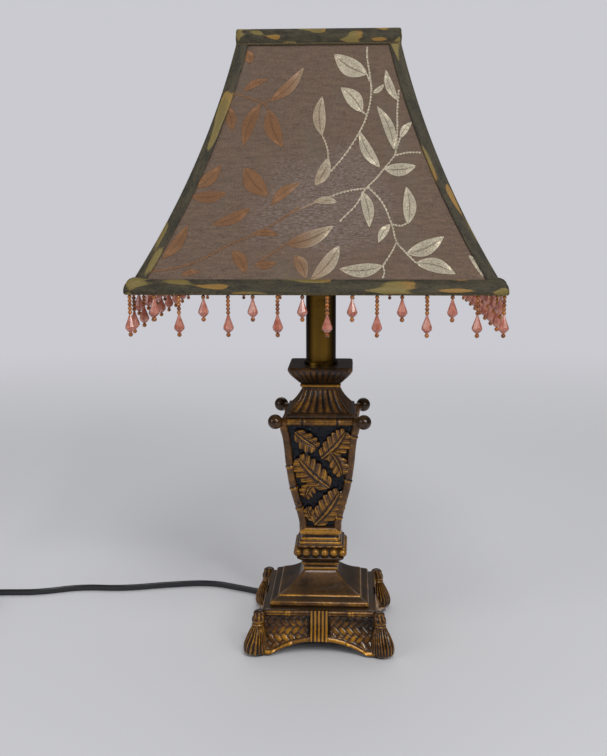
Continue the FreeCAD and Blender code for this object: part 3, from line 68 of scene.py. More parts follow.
# Height, half width and rub of the castings, from the bottom up
PLINTH = (
    (34.3, 43.2, 0.1), (34.5, 42, 0.1), (34.6, 38.6, 0), (34.8, 37.6, 0), (35.5, 38.6, 0.2), (36.6, 38.95, 0.55),
    (37.9, 38.9, 0.5), (38.9, 38.2, 0.6), (39.5, 37, 0.15), (40.2, 35.6, 0.05), (40.9, 34.4, 0),
    (41.2, 33.6, 0), (41.5, 33, 0.5), (42.2, 32.5, 0.85), (42.8, 31.4, 0.4), (43.4, 30.1, 0.25), (45, 26.8, 0.2),
    (47.2, 23.2, 0.2), (49.4, 20.1, 0.25), (51.6, 17.4, 0.3), (53.8, 15.2, 0.35), (55.6, 13.6, 0.4), (56.3, 13.3, 0.2),
    (56.7, 13.8, 0.7), (57.6, 14.1, 1), (58.5, 13.7, 0.5), (59.2, 13.1, 0.1), (60.2, 13, 0),
)
COLLAR = (
    (59.8, 13.6, 0), (60.8, 14.9, 0.6), (62.2, 15.4, 0.7), (63.6, 15.1, 0.1), (65, 16.4, 0.1), (66.6, 18.5, 0.3),
    (67.8, 18.9, 0.2), (69, 17.5, 0), (72.8, 17.4, 0), (75.6, 17.8, 0), (77, 19, 0.25), (78.2, 18.7, 0.5),
    (78.9, 17.4, 0.1), (79.6, 17.1, 0.6), (80.6, 17, 0.9), (81.4, 15.9, 0.2), (82.2, 15.5, 0.7), (83.4, 15.3, 1),
    (84.2, 14.6, 0.2), (85.8, 14.4, 0),
)
BAND = (
    (85.6, 14.6, 0), (86, 15.8, 0.2), (87, 16.6, 0.6), (88.4, 16.9, 0.9), (89.8, 16.9, 1), (91.2, 16.7, 0.8),
    (92.3, 15.9, 0.4), (92.9, 14.6, 0.1), (93.1, 12, 0),
)
ROOF = (
    (184, 25.6, 0), (184.4, 26.7, 0.2), (186.8, 26.8, 0.3), (187.6, 26.4, 0.2), (187.9, 25.4, 0),
    (188.1, 24.6, 0.2), (189.2, 23.6, 0.25), (191.4, 21.6, 0.25), (194.2, 19.4, 0.25), (197.2, 17.4, 0.25),
    (200.4, 15.7, 0.25), (203.4, 14.5, 0.25), (204.8, 14, 0.3), (205.2, 14.3, 0.3), (206.5, 14.3, 0.1),
)
CUP = (
    (206.4, 14.6, 0), (206.8, 15.6, 0.6), (207.8, 15.9, 1), (208.8, 15.5, 0.5), (209.2, 14.9, 0),
    (210.4, 16.6, 0.1), (212.6, 18.7, 0.2), (215.2, 21.2, 0.3), (218, 23.5, 0.35), (220.2, 24.7, 0.3),
    (221.4, 25, 0.3), (222.6, 24.9, 0.3), (223.2, 24.4, 0.15), (223.4, 23.4, 0), (223.35, 18, 0),
    (223.3, 11, 0),
)

# Column: outer half width over height, and the bamboo knots of its posts, left and right of each side
POSTS = (
    (89, 16.4), (92.8, 16.8), (97, 16.96), (108.8, 19.4), (127.6, 24), (146.6, 26.8), (159.9, 28),
    (169.4, 29.2), (177.1, 31), (183, 31.6),
)
LEFT_KNOTS = (109.3, 127, 145.2)
RIGHT_KNOTS = (101.4, 133.8, 170.1)

# Carved leaves of a column side: base and tip, half width, sideways curl, lobes, lift
COLUMN_LEAVES = (
    (-19.8, 174.2, -1, 159.8, 6.3, -0.05, 4, 1),
    (0.5, 151.5, 21.5, 175.6, 8, -0.06, 6, 0.8),
    (8, 158, 18, 137, 6, 0.07, 4, 1.7),
    (8.4, 127, -18.6, 154.2, 8.8, 0.05, 6, 1.4),
    (-3, 133, -12.2, 117.6, 5.2, -0.1, 4, 0.8),
    (-5.2, 93.8, 16.9, 126.6, 8.8, -0.05, 6, 1.1),
    (-3.6, 97.5, -10.4, 110.5, 4, 0.1, 3, 0.7),
)

# Tassel: share of its height and of its radius
TASSEL = (
    (0, 0.74), (0.04, 0.93), (0.1, 1), (0.22, 0.97), (0.36, 0.84), (0.5, 0.67), (0.62, 0.5), (0.68, 0.44),
    (0.75, 0.46), (0.81, 0.54), (0.88, 0.5), (0.91, 0.44), (0.95, 0.46), (1, 0.4), (1.03, 0.2),
)

# Woven leaves of a shade side, seen square on: base, tip and half width
WOVEN_LEAVES = (
    (-47, 445, -51, 455, 3.5), (-52, 426, -35, 434, 2.5), (-33, 419, -10, 442, 4), (-40, 417, -51, 388, 4.5),
    (-34, 413, -24, 387, 5.8), (-59, 399, -65, 417, 4), (3, 395, 3, 422, 4.5), (34, 437, 11, 451, 6.6),
    (31, 411, 16, 428, 5.4), (38, 424, 46, 430, 1.8), (43, 373, 29, 398, 4), (53, 385, 41, 415, 3.7),
    (55, 419, 47, 440, 3), (57, 393, 65, 404, 2.5), (46, 372, 68, 374, 4.5), (62, 335, 61, 360, 4.6),
    (50, 335, 42, 323, 2.9), (31, 357, 36, 333, 4.1), (61, 316, 86, 327, 5), (67, 310, 93, 303, 4.7),
    (45, 308, 16, 306, 4.5), (16, 321, -3, 299, 5), (14, 350, -2, 350, 2.7), (102, 315, 111, 301, 2.1),
    (-83, 360, -66, 375, 4.4), (-62, 356, -87, 354, 4.1), (-50, 373, -33, 354, 6.6), (-31, 348, -11, 363, 3.5),
    (-45, 346, -71, 335, 3.7), (-103, 313, -87, 335, 4), (-43, 329, -25, 328, 2.4), (-20, 322, 12, 334, 5.3),
    (-56, 318, -46, 303, 4.3), (-41, 309, -26, 310, 2.8), (-90, 302, -77, 304, 1.9), (-14, 315, -6, 300, 4.3),
    (-1, 361, 8, 380, 4.4),
)
WOVEN_STEMS = (
    ((-61, 425), (-50, 422), (-38, 418), (-33, 420)), ((-38, 418), (-40, 416)), ((-38, 418), (-34, 413)),
    ((3, 396), (7, 386), (7, 376), (1, 368)),
    ((34, 456), (34, 449), (36, 436), (37, 425), (35, 412), (30, 399), (20, 383), (9, 370), (-1, 361)),
    ((56, 426), (55, 412), (55, 399), (54, 385)), ((71, 383), (62, 383), (53, 381)), ((57, 393), (54, 385)),
    ((54, 386), (53, 381), (45, 371), (40, 365), (33, 358), (27, 348), (16, 337)),
    ((35, 359), (20, 357), (3, 351), (-9, 346), (-22, 340)),
    ((35, 360), (45, 349), (51, 335), (54, 324), (59, 318), (67, 310)),
    ((51, 335), (57, 334), (62, 336)), ((54, 323), (51, 317), (45, 308)), ((45, 308), (46, 304), (45, 300)),
    ((-12, 347), (-26, 337), (-43, 328), (-60, 321), (-77, 312), (-92, 307), (-111, 304)),
    ((-20, 322), (-29, 316), (-38, 311)), ((34, 437), (36, 432)), ((31, 411), (34, 409)),
)

# Teardrop: share of its length and of its radius
TEARDROP = (
    (0, 0.22), (0.06, 0.27), (0.16, 0.36), (0.34, 0.58), (0.52, 0.8), (0.66, 0.96), (0.74, 1), (0.83, 0.88),
    (0.93, 0.55), (1, 0.28),
)


def srgb(code):
    """Linear red, green and blue of a written colour."""
    shares = [int(code[at:at + 2], 16) / 255 for at in (0, 2, 4)]
    return tuple(s / 12.92 if s <= 0.04045 else ((s + 0.055) / 1.055) ** 2.4 for s in shares)


def length(name, description, default):
    return FloatProperty(name=name, description=description, default=default, subtype="DISTANCE", unit="LENGTH")


def colour(name, description, code):
    return FloatVectorProperty(name=name, description=description, default=srgb(code), subtype="COLOR", min=0, max=1)


class LampSizes(bpy.types.PropertyGroup):
    post_radius: length("Post radius", "Radius of the bamboo corner posts", 0.003)
    rail_radius: length("Rail radius", "Radius of the bamboo rails between the knobs", 0.0027)
    knob_radius: length("Knob radius", "Radius of the round ends of the posts", 0.0057)
    tassel_radius: length("Tassel radius", "Largest radius of the corner tassels", 0.0088)
    leaf_height: length("Leaf height", "How far a carved leaf stands out of the column", 0.0019)
    roof_flutes: IntProperty(name="Roof flutes", description="Flutes on each side of the roof", default=7)
    cup_flutes: IntProperty(name="Cup flutes", description="Flutes on each side of the cup", default=9)
    collar_beads: IntProperty(name="Collar beads", description="Beads along each side of the collar", default=6)
    cloth_thickness: length("Cloth thickness", "Thickness of the shade's cloth", 0.0006)
    trim_thickness: length("Trim thickness", "Thickness of the folded trims", 0.0008)
    drops: IntProperty(name="Drops", description="Bead drops along each side of the shade", default=15)
    drop_radius: length("Drop radius", "Radius of a teardrop bead", 0.0036)
    drop_length: length("Drop length", "Length of a teardrop bead", 0.012)
    cord_width: length("Cord width", "Width of the flat twin lead", 0.0055)
    cord_depth: length("Cord thickness", "Thickness of the flat twin lead", 0.0031)
    cord_length: length("Cord length", "Length of the lead from the foot to the plug", 1.86)


class LampColours(bpy.types.PropertyGroup):
    resin_dark: colour("Dark resin", "Hollows of the patina", "1a0f05")
    resin_bronze: colour("Bronze", "Body colour of the patina", "5c3910")
    resin_gold: colour("Rubbed gold", "Edges that are rubbed bright", "c88f2c")
    # Partly dusting and partly painted sheen on upward faces of the resin
    dust_sheen_tone: colour("Dusty faces", "Upward faces of the resin", "513d28")
    recess: colour("Recess", "Glossy ground behind the carved leaves", "060b1a")
    cloth: colour("Cloth", "Ground of the shade cloth", "5f4b3c")
    copper: colour("Copper thread", "Woven leaves on the left", "8a5f3a")
    # Painted highlight: the light gold that the copper leaves take on where they glint
    glint_gold: colour("Pale gold thread", "Woven leaves on the right", "e2d6bb")
    trim: colour("Trim", "Ground of the trims", "2f2917")
    olive: colour("Olive gold", "Leaf patches of the trims", "857335")
    lining: colour("Lining", "Inside of the shade", "cfc8bd")
    rose: colour("Rose glass", "Teardrop beads", "e0a08e")
    amber: colour("Amber glass", "Seed beads", "bd7429")
    cord: colour("Cord", "Covering of the lead", "0c0c0e")
    floor: colour("Floor", "Floor under the lamp", "c7c7c9")


class CameraSettings(bpy.types.PropertyGroup):
    place: FloatVectorProperty(name="Place", description="Where the camera stands", default=(0.0269, -0.8067, 0.356),
                               subtype="TRANSLATION", unit="LENGTH")
    aside: FloatProperty(name="Aside", description="Sideways share of the view", default=-0.0505)
    down: FloatProperty(name="Down", description="Angle below level", default=0.1774, subtype="ANGLE")
    roll: FloatProperty(name="Roll", description="Turn about the view axis", default=-0.0028, subtype="ANGLE")
    lens: FloatProperty(name="Lens", description="Focal length in millimetres", default=49.17,
                        subtype="DISTANCE_CAMERA")


def tint(name, factor=1):
    """A colour of the panel, or a written one, made lighter or darker by a factor."""
    colours = bpy.context.scene.lamp_colours
    shares = getattr(colours, name) if hasattr(colours, name) else srgb(name)
    return tuple(min(1, share * factor) for share in shares)


class Value:
    """A shader value that joins in Python sums by way of Math nodes."""

    def __init__(self, nodes, socket):
        self.nodes = nodes
        self.socket = socket

    def math(self, operation, first, second):
        return self.nodes.value("ShaderNodeMath", {0: first, 1: second}, operation=operation)

    def __add__(self, other):
        return self.math("ADD", self, other)

    def __sub__(self, other):
        return self.math("SUBTRACT", self, other)

    def __rsub__(self, other):
        return self.math("SUBTRACT", other, self)

    def __mul__(self, other):
        return self.math("MULTIPLY", self, other)

    __radd__ = __add__
    __rmul__ = __mul__


class Nodes:
    """A node tree that is filled from Python."""

    def __init__(self, tree):
        self.tree = tree

    def node(self, kind, sockets, **settings):
        """Adds a node: its settings first, then the values or links of its sockets."""
        item = self.tree.nodes.new(kind)
        for name, value in settings.items():
            setattr(item, name, value)
        for name, value in sockets.items():
            self.feed(item.inputs[name], value)
        return item

    def feed(self, socket, value):
        """Links a socket, or sets its number, vector or colour; a colour may be a name or a code."""
        if isinstance(value, Value):
            value = value.socket
        if isinstance(value, bpy.types.NodeSocket):
            self.tree.links.new(value, socket)
        elif socket.type == "RGBA":
            socket.default_value = (*(tint(value) if isinstance(value, str) else value), 1)
        else:
            socket.default_value = value

    def value(self, kind, sockets, output=0, **settings):
        return Value(self, self.node(kind, sockets, **settings).outputs[output])

    def crossed(self, share, first, second, end):
        """Mixes two shaders into the surface that leaves the tree."""
        both = self.node("ShaderNodeMixShader", {0: share, 1: first, 2: second})
        self.tree.links.new(both.outputs[0], self.tree.nodes[end].inputs["Surface"])


class Finish(Nodes):
    """A material in the making: its nodes, and the Principled shader that they feed."""

    def __init__(self, name, constants):
        self.material = bpy.data.materials.new(name)
        self.material.use_nodes = True
        super().__init__(self.material.node_tree)
        self.shader = self.tree.nodes["Principled BSDF"]
        for socket, value in constants.items():
            self.shader.inputs[socket].default_value = value

    def mapped(self, source, scale, turn=0):
        return self.node("ShaderNodeMapping", {"Vector": source, "Scale": scale, "Rotation": (0, 0, turn)}).outputs[0]

    def place(self, scale=(1, 1, 1)):
        """Object coordinates, scaled."""
        return self.mapped(self.node("ShaderNodeTexCoord", {}).outputs["Object"], scale)

    def weave(self, across=1, along=1, turn=0):
        """The piece's own cloth coordinates, scaled and turned."""
        return self.mapped(self.node("ShaderNodeUVMap", {}, uv_map="weave").outputs["UV"], (across, along, 1), turn)

    def noise(self, vector, scale, detail=2, rough=0.5):
        sockets = {"Vector": vector, "Scale": scale, "Detail": detail, "Roughness": rough}
        return self.value("ShaderNodeTexNoise", sockets)

    def grit(self, scale, detail=2, rough=0.5):
        """Noise through the body of the piece."""
        return self.noise(self.place(), scale, detail, rough)

    def strands(self, across, along, detail=2, rough=0.5, turn=0):
        """Noise drawn out along the threads of the cloth."""
        return self.noise(self.weave(across, along, turn), 1, detail, rough)

    def wave(self, vector, scale, axis="X", bend=0):
        sockets = {"Vector": vector, "Scale": scale, "Distortion": bend}
        return self.value("ShaderNodeTexWave", sockets, 1, bands_direction=axis)

    def rub(self):
        """How brightly the carving is rubbed, kept with each point of a mesh."""
        return self.value("ShaderNodeAttribute", {}, "Fac", attribute_name="rub")

    def between(self, value, low, high):
        """0 below low, 1 above high, eased between them."""
        sockets = {"Value": value, "From Min": low, "From Max": high}
        return self.value("ShaderNodeMapRange", sockets, interpolation_type="SMOOTHSTEP")

    def mix(self, share, first, second):
        return self.node("ShaderNodeMix", {0: share, 6: first, 7: second}, data_type="RGBA").outputs[2]

    def layered(self, tone, *coats):
        """A colour under coats, each given by its share and its colour."""
        for share, coat in coats:
            tone = self.mix(share, tone, coat)
        return tone

    def part(self, vector, axis):
        return self.value("ShaderNodeSeparateXYZ", {0: vector}, axis)

    def bump(self, height, distance, strength=1):
        sockets = {"Height": height, "Distance": distance, "Strength": strength}
        self.feed(self.shader.inputs["Normal"], self.node("ShaderNodeBump", sockets).outputs[0])

    def made(self, **feeds):
        """Feeds the shader's sockets, named with underscores, and gives the material."""
        for name, value in feeds.items():
            self.feed(self.shader.inputs[name.replace("_", " ")], value)
        return self.material


def patina(name, bright, wear=0):
    """Cast resin, dark in its hollows and rubbed with gold where the carving stands out."""
    finish = Finish(name, {"Specular IOR Level": 0.3, "Coat Weight": 0.55, "Coat Roughness": 0.08})
    broad = finish.grit(70, 3)
    fine = finish.grit(420, 4, 0.6)
    speckle = finish.grit(1500)
    worn = finish.rub() + wear + (broad - 0.5) + 0.8 * (fine - 0.5)
    gold = finish.between(worn, 0.45, 1.05) * bright
    # Partly dusting and partly painted sheen: upward faces are laid with a lighter grey-brown
    up = finish.part(finish.node("ShaderNodeNewGeometry", {}).outputs["Normal"], "Z")
    dust_and_sheen = finish.between(up + 0.5 * (broad - 0.5), 0.55, 0.95) * (0.5 - 0.4 * gold)
    tone = finish.layered("resin_dark", (finish.between(worn, 0, 0.6), "resin_bronze"), (gold, "resin_gold"),
                          (finish.between(speckle, 0.6, 0.8) * 0.35, "resin_dark"), (dust_and_sheen, "dust_sheen_tone"))
    finish.bump(0.6 * fine + 0.4 * speckle, 0.00022, 0.55)
    return finish.made(Base_Color=tone, Metallic=0.4 + 0.4 * gold, Roughness=0.28 + 0.2 * fine + 0.25 * dust_and_sheen)


def glossy_ground(name):
    """Blue-black enamel behind the carving."""
    finish = Finish(name, {"Specular IOR Level": 0.15, "Coat Weight": 0.25, "Coat Roughness": 0.05})
    cloud = finish.grit(160, 3)
    finish.bump(finish.grit(190, 1), 0.0035)
    return finish.made(Base_Color=finish.mix(cloud, "recess", "07080b"), Roughness=0.1 + 0.15 * cloud)


def metal(name, tone, dark, rough, blotch, scale=90, edge=0.3):
    """Worn metal with darker blotches, a drawn grain and painted shade that darkens it towards its outline."""
    finish = Finish(name, {"Metallic": 1})
    cloud = finish.grit(scale, 4, 0.62)
    grain = finish.noise(finish.place((1, 1, 0.06)), 1600)
    dull = finish.between(cloud, 0.62 - blotch * 0.35, 0.8 - blotch * 0.2)
    # Painted shade: the metal is darkened where it turns away towards its outline, by the share given as the last
    # setting
    painted_rim = finish.value("ShaderNodeLayerWeight", {"Blend": 0.5}, "Facing")
    worn = finish.mix(finish.between(painted_rim, 0.03, 0.45) * edge, finish.mix(dull, tone, dark), dark)
    finish.bump(0.5 * grain + 0.5 * cloud, 0.00008, 0.5)
    return finish.made(Base_Color=worn, Roughness=rough + 0.18 * grain + 0.1 * dull)


def moulded(name, tone, rough, grain_depth):
    """Moulded plastic, board or thread with a faint grain."""
    finish = Finish(name, {"Specular IOR Level": 0.5})
    cloud = finish.grit(55)
    finish.bump(finish.grit(1900), grain_depth, 0.6)
    lighter = tuple(min(1, share * 1.5 + 0.004) for share in srgb(tone))
    return finish.made(Base_Color=finish.mix(cloud, tone, lighter), Roughness=rough + 0.1 * cloud)


def slub_cloth(name):
    """Taupe ground of the brocade: streaky threads, a fine weave and a painted cool sheen, a reflection laid low in the
    middle.
    """
    finish = Finish(name, {"Sheen Weight": 0.25, "Sheen Roughness": 0.4, "Specular IOR Level": 0.35})
    flat = finish.weave()
    across = finish.strands(240, 1500, 3, 0.65)
    along = finish.strands(1500, 200, 3, 0.65)
    slub = finish.strands(55, 420, 3, 0.6, 0.5)
    fleck = finish.noise(flat, 900)
    cloud = finish.noise(finish.weave(1, 0.7, 0.6), 24)
    # Painted sheen: a grey-blue reflection laid low in the middle of each side, on the threads that catch it
    side = (finish.part(flat, "X") - 0.138) * 16
    rise = (finish.part(flat, "Y") - 0.066) * 26
    patch = side * side + rise * rise + 2.6 * (cloud - 0.5)
    painted_sheen = finish.between(patch, 1.5, 0.1) * finish.between(across, 0.44, 0.66)
    streak = finish.between(0.55 * across + 0.45 * along, 0.36, 0.64)
    threads = 0.6 * streak + 0.4 * finish.between(slub, 0.3, 0.7)
    tone = finish.layered(tint("cloth", 0.62), (threads, tint("cloth", 1.38)),
                          (0.5 * finish.between(fleck, 0.56, 0.74), "86705f"),
                          (0.4 * finish.between(cloud, 0.5, 0.8), "5f5a4d"), (0.4 * painted_sheen, "8f8c90"))
    warp = finish.wave(finish.weave(1, 0), 420, bend=0.5)
    weft = finish.wave(finish.weave(0, 1), 420, "Y", 0.5)
    finish.bump(0.35 * (warp + weft) + 0.65 * streak, 0.00028, 0.7)
    return finish.made(Base_Color=tone, Roughness=0.62 - 0.2 * fleck)


def leaf_thread(name):
    """Metallic satin stitches of the woven leaves with a painted glint: the rub carries it, from copper to light gold.
    """
    finish = Finish(name, {"Sheen Weight": 0.1, "Specular IOR Level": 0.6})
    stitch = finish.wave(finish.weave(turn=0.5), 26, bend=2.5)
    fleck = finish.grit(1100, 3, 0.7)
    edge = finish.part(finish.weave(), "X") - 0.5
    painted_rim = finish.between(edge * edge, 0.12, 0.22)
    midrib = finish.between(edge * edge, 0.004, 0.0008)
    # Painted highlight: the glint share turns the leaves from copper to light gold, with painted white sparkles and
    # lighter outlines where they glint
    glint_share = finish.between(finish.rub() + 0.35 * (fleck - 0.5), 0.05, 0.95)
    tone = finish.layered("copper", (glint_share, "glint_gold"), (0.6 * finish.between(fleck, 0.46, 0.66), tint("copper", 0.5)),
                          (0.8 * glint_share * finish.between(fleck, 0.42, 0.3), "fff8e6"), (0.45 * painted_rim * glint_share, "glint_gold"),
                          (0.55 * midrib, tint("copper", 0.45)))
    finish.bump(0.6 * stitch + 0.4 * fleck, 0.00022, 0.8)
    return finish.made(Base_Color=tone, Metallic=0.2 + 0.25 * glint_share, Roughness=0.55 - 0.12 * glint_share)


def trim_cloth(name):
    """Dark folded trim with olive-gold scraps of the leaf pattern."""
    finish = Finish(name, {"Sheen Weight": 0.15, "Specular IOR Level": 0.35})
    scrap = finish.strands(19, 105, 1, 0.4, 0.1)
    lot = finish.strands(25, 25, 0)
    thread = finish.strands(420, 1600, 3, 0.6)
    fleck = finish.noise(finish.weave(), 1300)
    mottle = finish.strands(60, 240, 4, 0.7)
    leafy = finish.between(scrap + 0.05 * fleck + 0.16 * finish.rub(), 0.57, 0.6)
    heart = finish.between(scrap, 0.62, 0.67)
    gold = finish.mix(finish.between(lot, 0.4, 0.6), "olive", "a0762a")
    worn = finish.between(0.5 * thread + 0.5 * mottle, 0.38, 0.62)
    tone = finish.layered(tint("trim", 0.4), (worn, tint("trim", 1.9)), (leafy * (0.3 + 0.55 * thread), gold),
                          (0.5 * heart, tint("olive", 0.45)))
    finish.bump(0.6 * thread + 0.4 * fleck + 0.4 * leafy, 0.0003, 0.9)
    return finish.made(Base_Color=tone, Metallic=0.12 * leafy, Roughness=0.62 - 0.12 * leafy)


def plain_cloth(name, tone, dark):
    finish = Finish(name, {"Sheen Weight": 0.1, "Specular IOR Level": 0.25})
    thread = finish.strands(500, 1500)
    cloud = finish.grit(30)
    finish.bump(thread, 0.00015, 0.6)
    return finish.made(Base_Color=finish.mix(0.5 * thread + 0.5 * cloud, tone, dark), Roughness=0.8 + 0.1 * thread)


def bead_glass(name, tone, deep, clear):
    """Lustred glass, deeper in colour in patches."""
    finish = Finish(name, {"Transmission Weight": clear, "IOR": 1.5, "Coat Weight": 0.5, "Coat Roughness": 0.05})
    cloud = finish.grit(190)
    finish.bump(finish.grit(700, 1), 0.00008, 0.4)
    tone = finish.mix(finish.between(cloud, 0.35, 0.65), tone, deep)
    return finish.made(Base_Color=tone, Roughness=0.1 + 0.12 * cloud)


def lead_vinyl(name):
    finish = Finish(name, {"Specular IOR Level": 0.6, "Coat Weight": 0.25, "Coat Roughness": 0.2})
    cloud = finish.grit(120, 3)
    finish.bump(finish.grit(900), 0.00006, 0.5)
    return finish.made(Base_Color=finish.mix(cloud, "cord", "17181c"), Roughness=0.24 + 0.16 * cloud)


def floor_paper(name):
    """Pale floor that fades into the background well behind the lamp."""
    finish = Finish(name, {"Roughness": 0.85, "Specular IOR Level": 0.1})
    spots = finish.place()
    away = finish.value("ShaderNodeVectorMath", {0: spots}, "Value", operation="LENGTH")
    clear = finish.node("ShaderNodeBsdfTransparent", {})
    finish.crossed(finish.between(away, 0.55, 1.7), finish.shader.outputs[0], clear.outputs[0], "Material Output")
    return finish.made(Base_Color=finish.mix(finish.noise(spots, 1.2, 1), "floor", tint("floor", 1.05)))


# Each finish: what makes it, and its settings in that order
MAKERS = {
    "patina_resin": (patina, 0.8),
    "leaf_resin": (patina, 0.72, -0.04),
    "recess_enamel": (glossy_ground,),
    "shade_brocade": (slub_cloth,),
    "woven_thread": (leaf_thread,),
    "trim_brocade": (trim_cloth,),
    "lining_cloth": (plain_cloth, "lining", "b3aa9d"),
    "tape_cloth": (plain_cloth, "4a3a2c", "2f241b"),
    "rose_glass": (bead_glass, "rose", "bd6d58", 0.5),
    "amber_seed": (bead_glass, "amber", "7c3d12", 0.3),
    "bulb_glass": (bead_glass, "e9e6df", "f3f1ec", 0.55),
    "cord_vinyl": (lead_vinyl,),
    "floor_paper": (floor_paper,),
    # The neck's brass takes the strongest painted shade towards its outline, given by its last setting
    "antique_brass": (metal, "94712f", "2a1b0b", 0.24, 0.3, 55, 0.95),
    "zinc_steel": (metal, "a9a79e", "6f6d66", 0.35, 0.3),
    "bright_brass": (metal, "c79c4e", "8a6527", 0.28, 0.3),
    "shell_aluminium": (metal, "bcb9b0", "8b8880", 0.3, 0.3),
    "blade_brass": (metal, "cfa857", "9b7a38", 0.25, 0.2),
    "wire_copper": (metal, "b5683a", "7c4323", 0.35, 0.2),
    "solder": (metal, "a5a6a8", "6d6e70", 0.4, 0.5, 400),
    "black_phenolic": (moulded, "0b0a0a", 0.3, 0.00006),
    "paperboard": (moulded, "8d7458", 0.85, 0.00015),
    "felt": (moulded, "1f2a1f", 0.95, 0.0004),
    "bead_thread": (moulded, "b38a5c", 0.6, 0.00006),
}

# Finishes made so far, by name
FINISHES = {}


def finish_named(name):
    """The finish of that name, made when a piece first asks for it."""
    if name not in FINISHES:
        maker, *settings = MAKERS[name]
        FINISHES[name] = maker(name, *settings)
    return FINISHES[name]


# Shapes

def smooth_at(table, here, column=1):
    """A column of a table at a place between its marks, eased by the marks on both sides."""
    last = len(table) - 1
    index = 0
    while index < last - 1 and here > table[index + 1][0]:
        index += 1
    before, first, second, after = (table[min(max(index + step, 0), last)] for step in (-1, 0, 1, 2))
    step = second[0] - first[0]
    share = min(max((here - first[0]) / step, 0), 1)
    leave = (second[column] - before[column]) / (second[0] - before[0]) * step
    reach = (after[column] - first[column]) / (after[0] - first[0]) * step
    square, cube = share * share, share ** 3
    return ((2 * cube - 3 * square + 1) * first[column] + (cube - 2 * square + share) * leave
            + (3 * square - 2 * cube) * second[column] + (cube - square) * reach)


def laid(across, along, spot, cloth=(1, 1), closed=False):
    """A grid whose points are placed, in millimetres, by their shares across and along; spot gives place and rub."""
    bm = bmesh.new()
    uv = bm.loops.layers.uv.new("weave")
    rub = bm.verts.layers.float.new("rub")
    bmesh.ops.create_grid(bm, x_segments=across, y_segments=along, size=1)
    bm.verts.index_update()
    shares = []
    for vert in bm.verts:
        u, w = (vert.co.x + 1) / 2, (vert.co.y + 1) / 2
        shares.append((u, w))
        point, bright = spot(u, w)
        vert.co = Vector(point) * MM
        vert[rub] = bright
    for face in bm.faces:
        for loop in face.loops:
            u, w = shares[loop.vert.index]
            loop[uv].uv = (u * cloth[0], w * cloth[1])
    if closed:
        bmesh.ops.remove_doubles(bm, verts=bm.verts, dist=2e-6)
    bmesh.ops.recalc_face_normals(bm, faces=bm.faces)
    return bm


def ball(centre, radius, bright=0.7, around=20):
    bm = bmesh.new()
    bm.loops.layers.uv.new("weave")
    rub = bm.verts.layers.float.new("rub")
    bmesh.ops.create_uvsphere(bm, u_segments=around, v_segments=around * 2 // 3, radius=radius * MM,
                              matrix=Matrix.Translation(Vector(centre) * MM))
    # A sphere's faces come in another order each run, so they are sorted from the bottom up
    upwards = Vector((10, 0.1, 1000))
    bm.faces.sort(key=lambda face: face.calc_center_median().dot(upwards))
    for vert in bm.verts:
        vert[rub] = bright
    return bm


def tube(path, radius, around, along, bright, ref=(0, 0, 1)):
    """A round bar along a path of its share, with a radius and a rub at each share."""
    ref = Vector(ref)

    def spot(u, w):
        here = Vector(path(w))
        ahead = (Vector(path(min(w + 0.01, 1))) - Vector(path(max(w - 0.01, 0)))).normalized()
        side = ahead.cross(ref).normalized()
        over = side.cross(ahead)
        angle = u * 2 * math.pi
        reach = radius(w) if 0 < w < 1 else 0
        return here + (side * math.cos(angle) + over * math.sin(angle)) * reach, bright(w)
    return laid(around, along, spot, closed=True)


def squared(share, half, corner):
    """Place, outward direction and share along the side, on a square outline with rounded corners."""
    side_part = 0.86
    quarter, within = divmod(share * 4 % 4, 1)
    straight = half - corner
    if within < side_part:
        along = within / side_part * 2 - 1
        point, outward = Vector((along * straight, -half, 0)), Vector((0, -1, 0))
    else:
        angle = (within - side_part) / (1 - side_part) * math.pi / 2
        outward = Vector((math.sin(angle), -math.cos(angle), 0))
        point = Vector((straight, -straight, 0)) + outward * corner
        along = 1
    turn = Matrix.Rotation(quarter * math.pi / 2, 3, "Z")
    return turn @ point, turn @ outward, along


def square_casting(profile, corner, across=176, per_step=3, relief=None):
    """A casting of square section, from heights, half widths and rubs; relief adds to both along a side."""
    steps = len(profile) - 1
    table = [(index, *level) for index, level in enumerate(profile)]

    def spot(u, w):
        mark = w * steps
        height, half, bright = (smooth_at(table, mark, column) for column in (1, 2, 3))
        point, outward, along = squared(u, half, min(corner, half / 2))
        if relief:
            lift, more = relief(along, height)
            point += outward * lift
            bright += more
        if abs(along) > 0.97:
            bright += 0.15
        return (point.x, point.y, height), min(max(bright, 0), 1)
    return laid(across, steps * per_step, spot, closed=True)


def meshed(name, bm):
    mesh = bpy.data.meshes.new(name)
    bm.to_mesh(mesh)
    bm.free()
    return mesh


def placed(name, data, matrix=Matrix()):
    """An object of the scene, for a mesh, a camera or a lamp."""
    item = bpy.data.objects.new(name, data)
    item.matrix_world = matrix
    bpy.context.scene.collection.objects.link(item)
    return item


class Heap:
    """Meshes that are gathered into one piece."""

    def __init__(self):
        self.bm = bmesh.new()

    def add(self, bm, quarters=(0,), flip=False):
        mesh = meshed("part", bm)
        if flip:
            mesh.transform(Matrix.Scale(-1, 4, (1, 0, 0)))
            mesh.flip_normals()
        for quarter in quarters:
            turned = mesh.copy()
            turned.transform(Matrix.Rotation(quarter * math.pi / 2, 4, "Z"))
            self.bm.from_mesh(turned)
            bpy.data.meshes.remove(turned)
        bpy.data.meshes.remove(mesh)


def all_round(*meshes):
    """Front meshes, repeated on the four sides."""
    heap = Heap()
    for bm in meshes:
        heap.add(bm, ALL_SIDES)
    return heap.bm


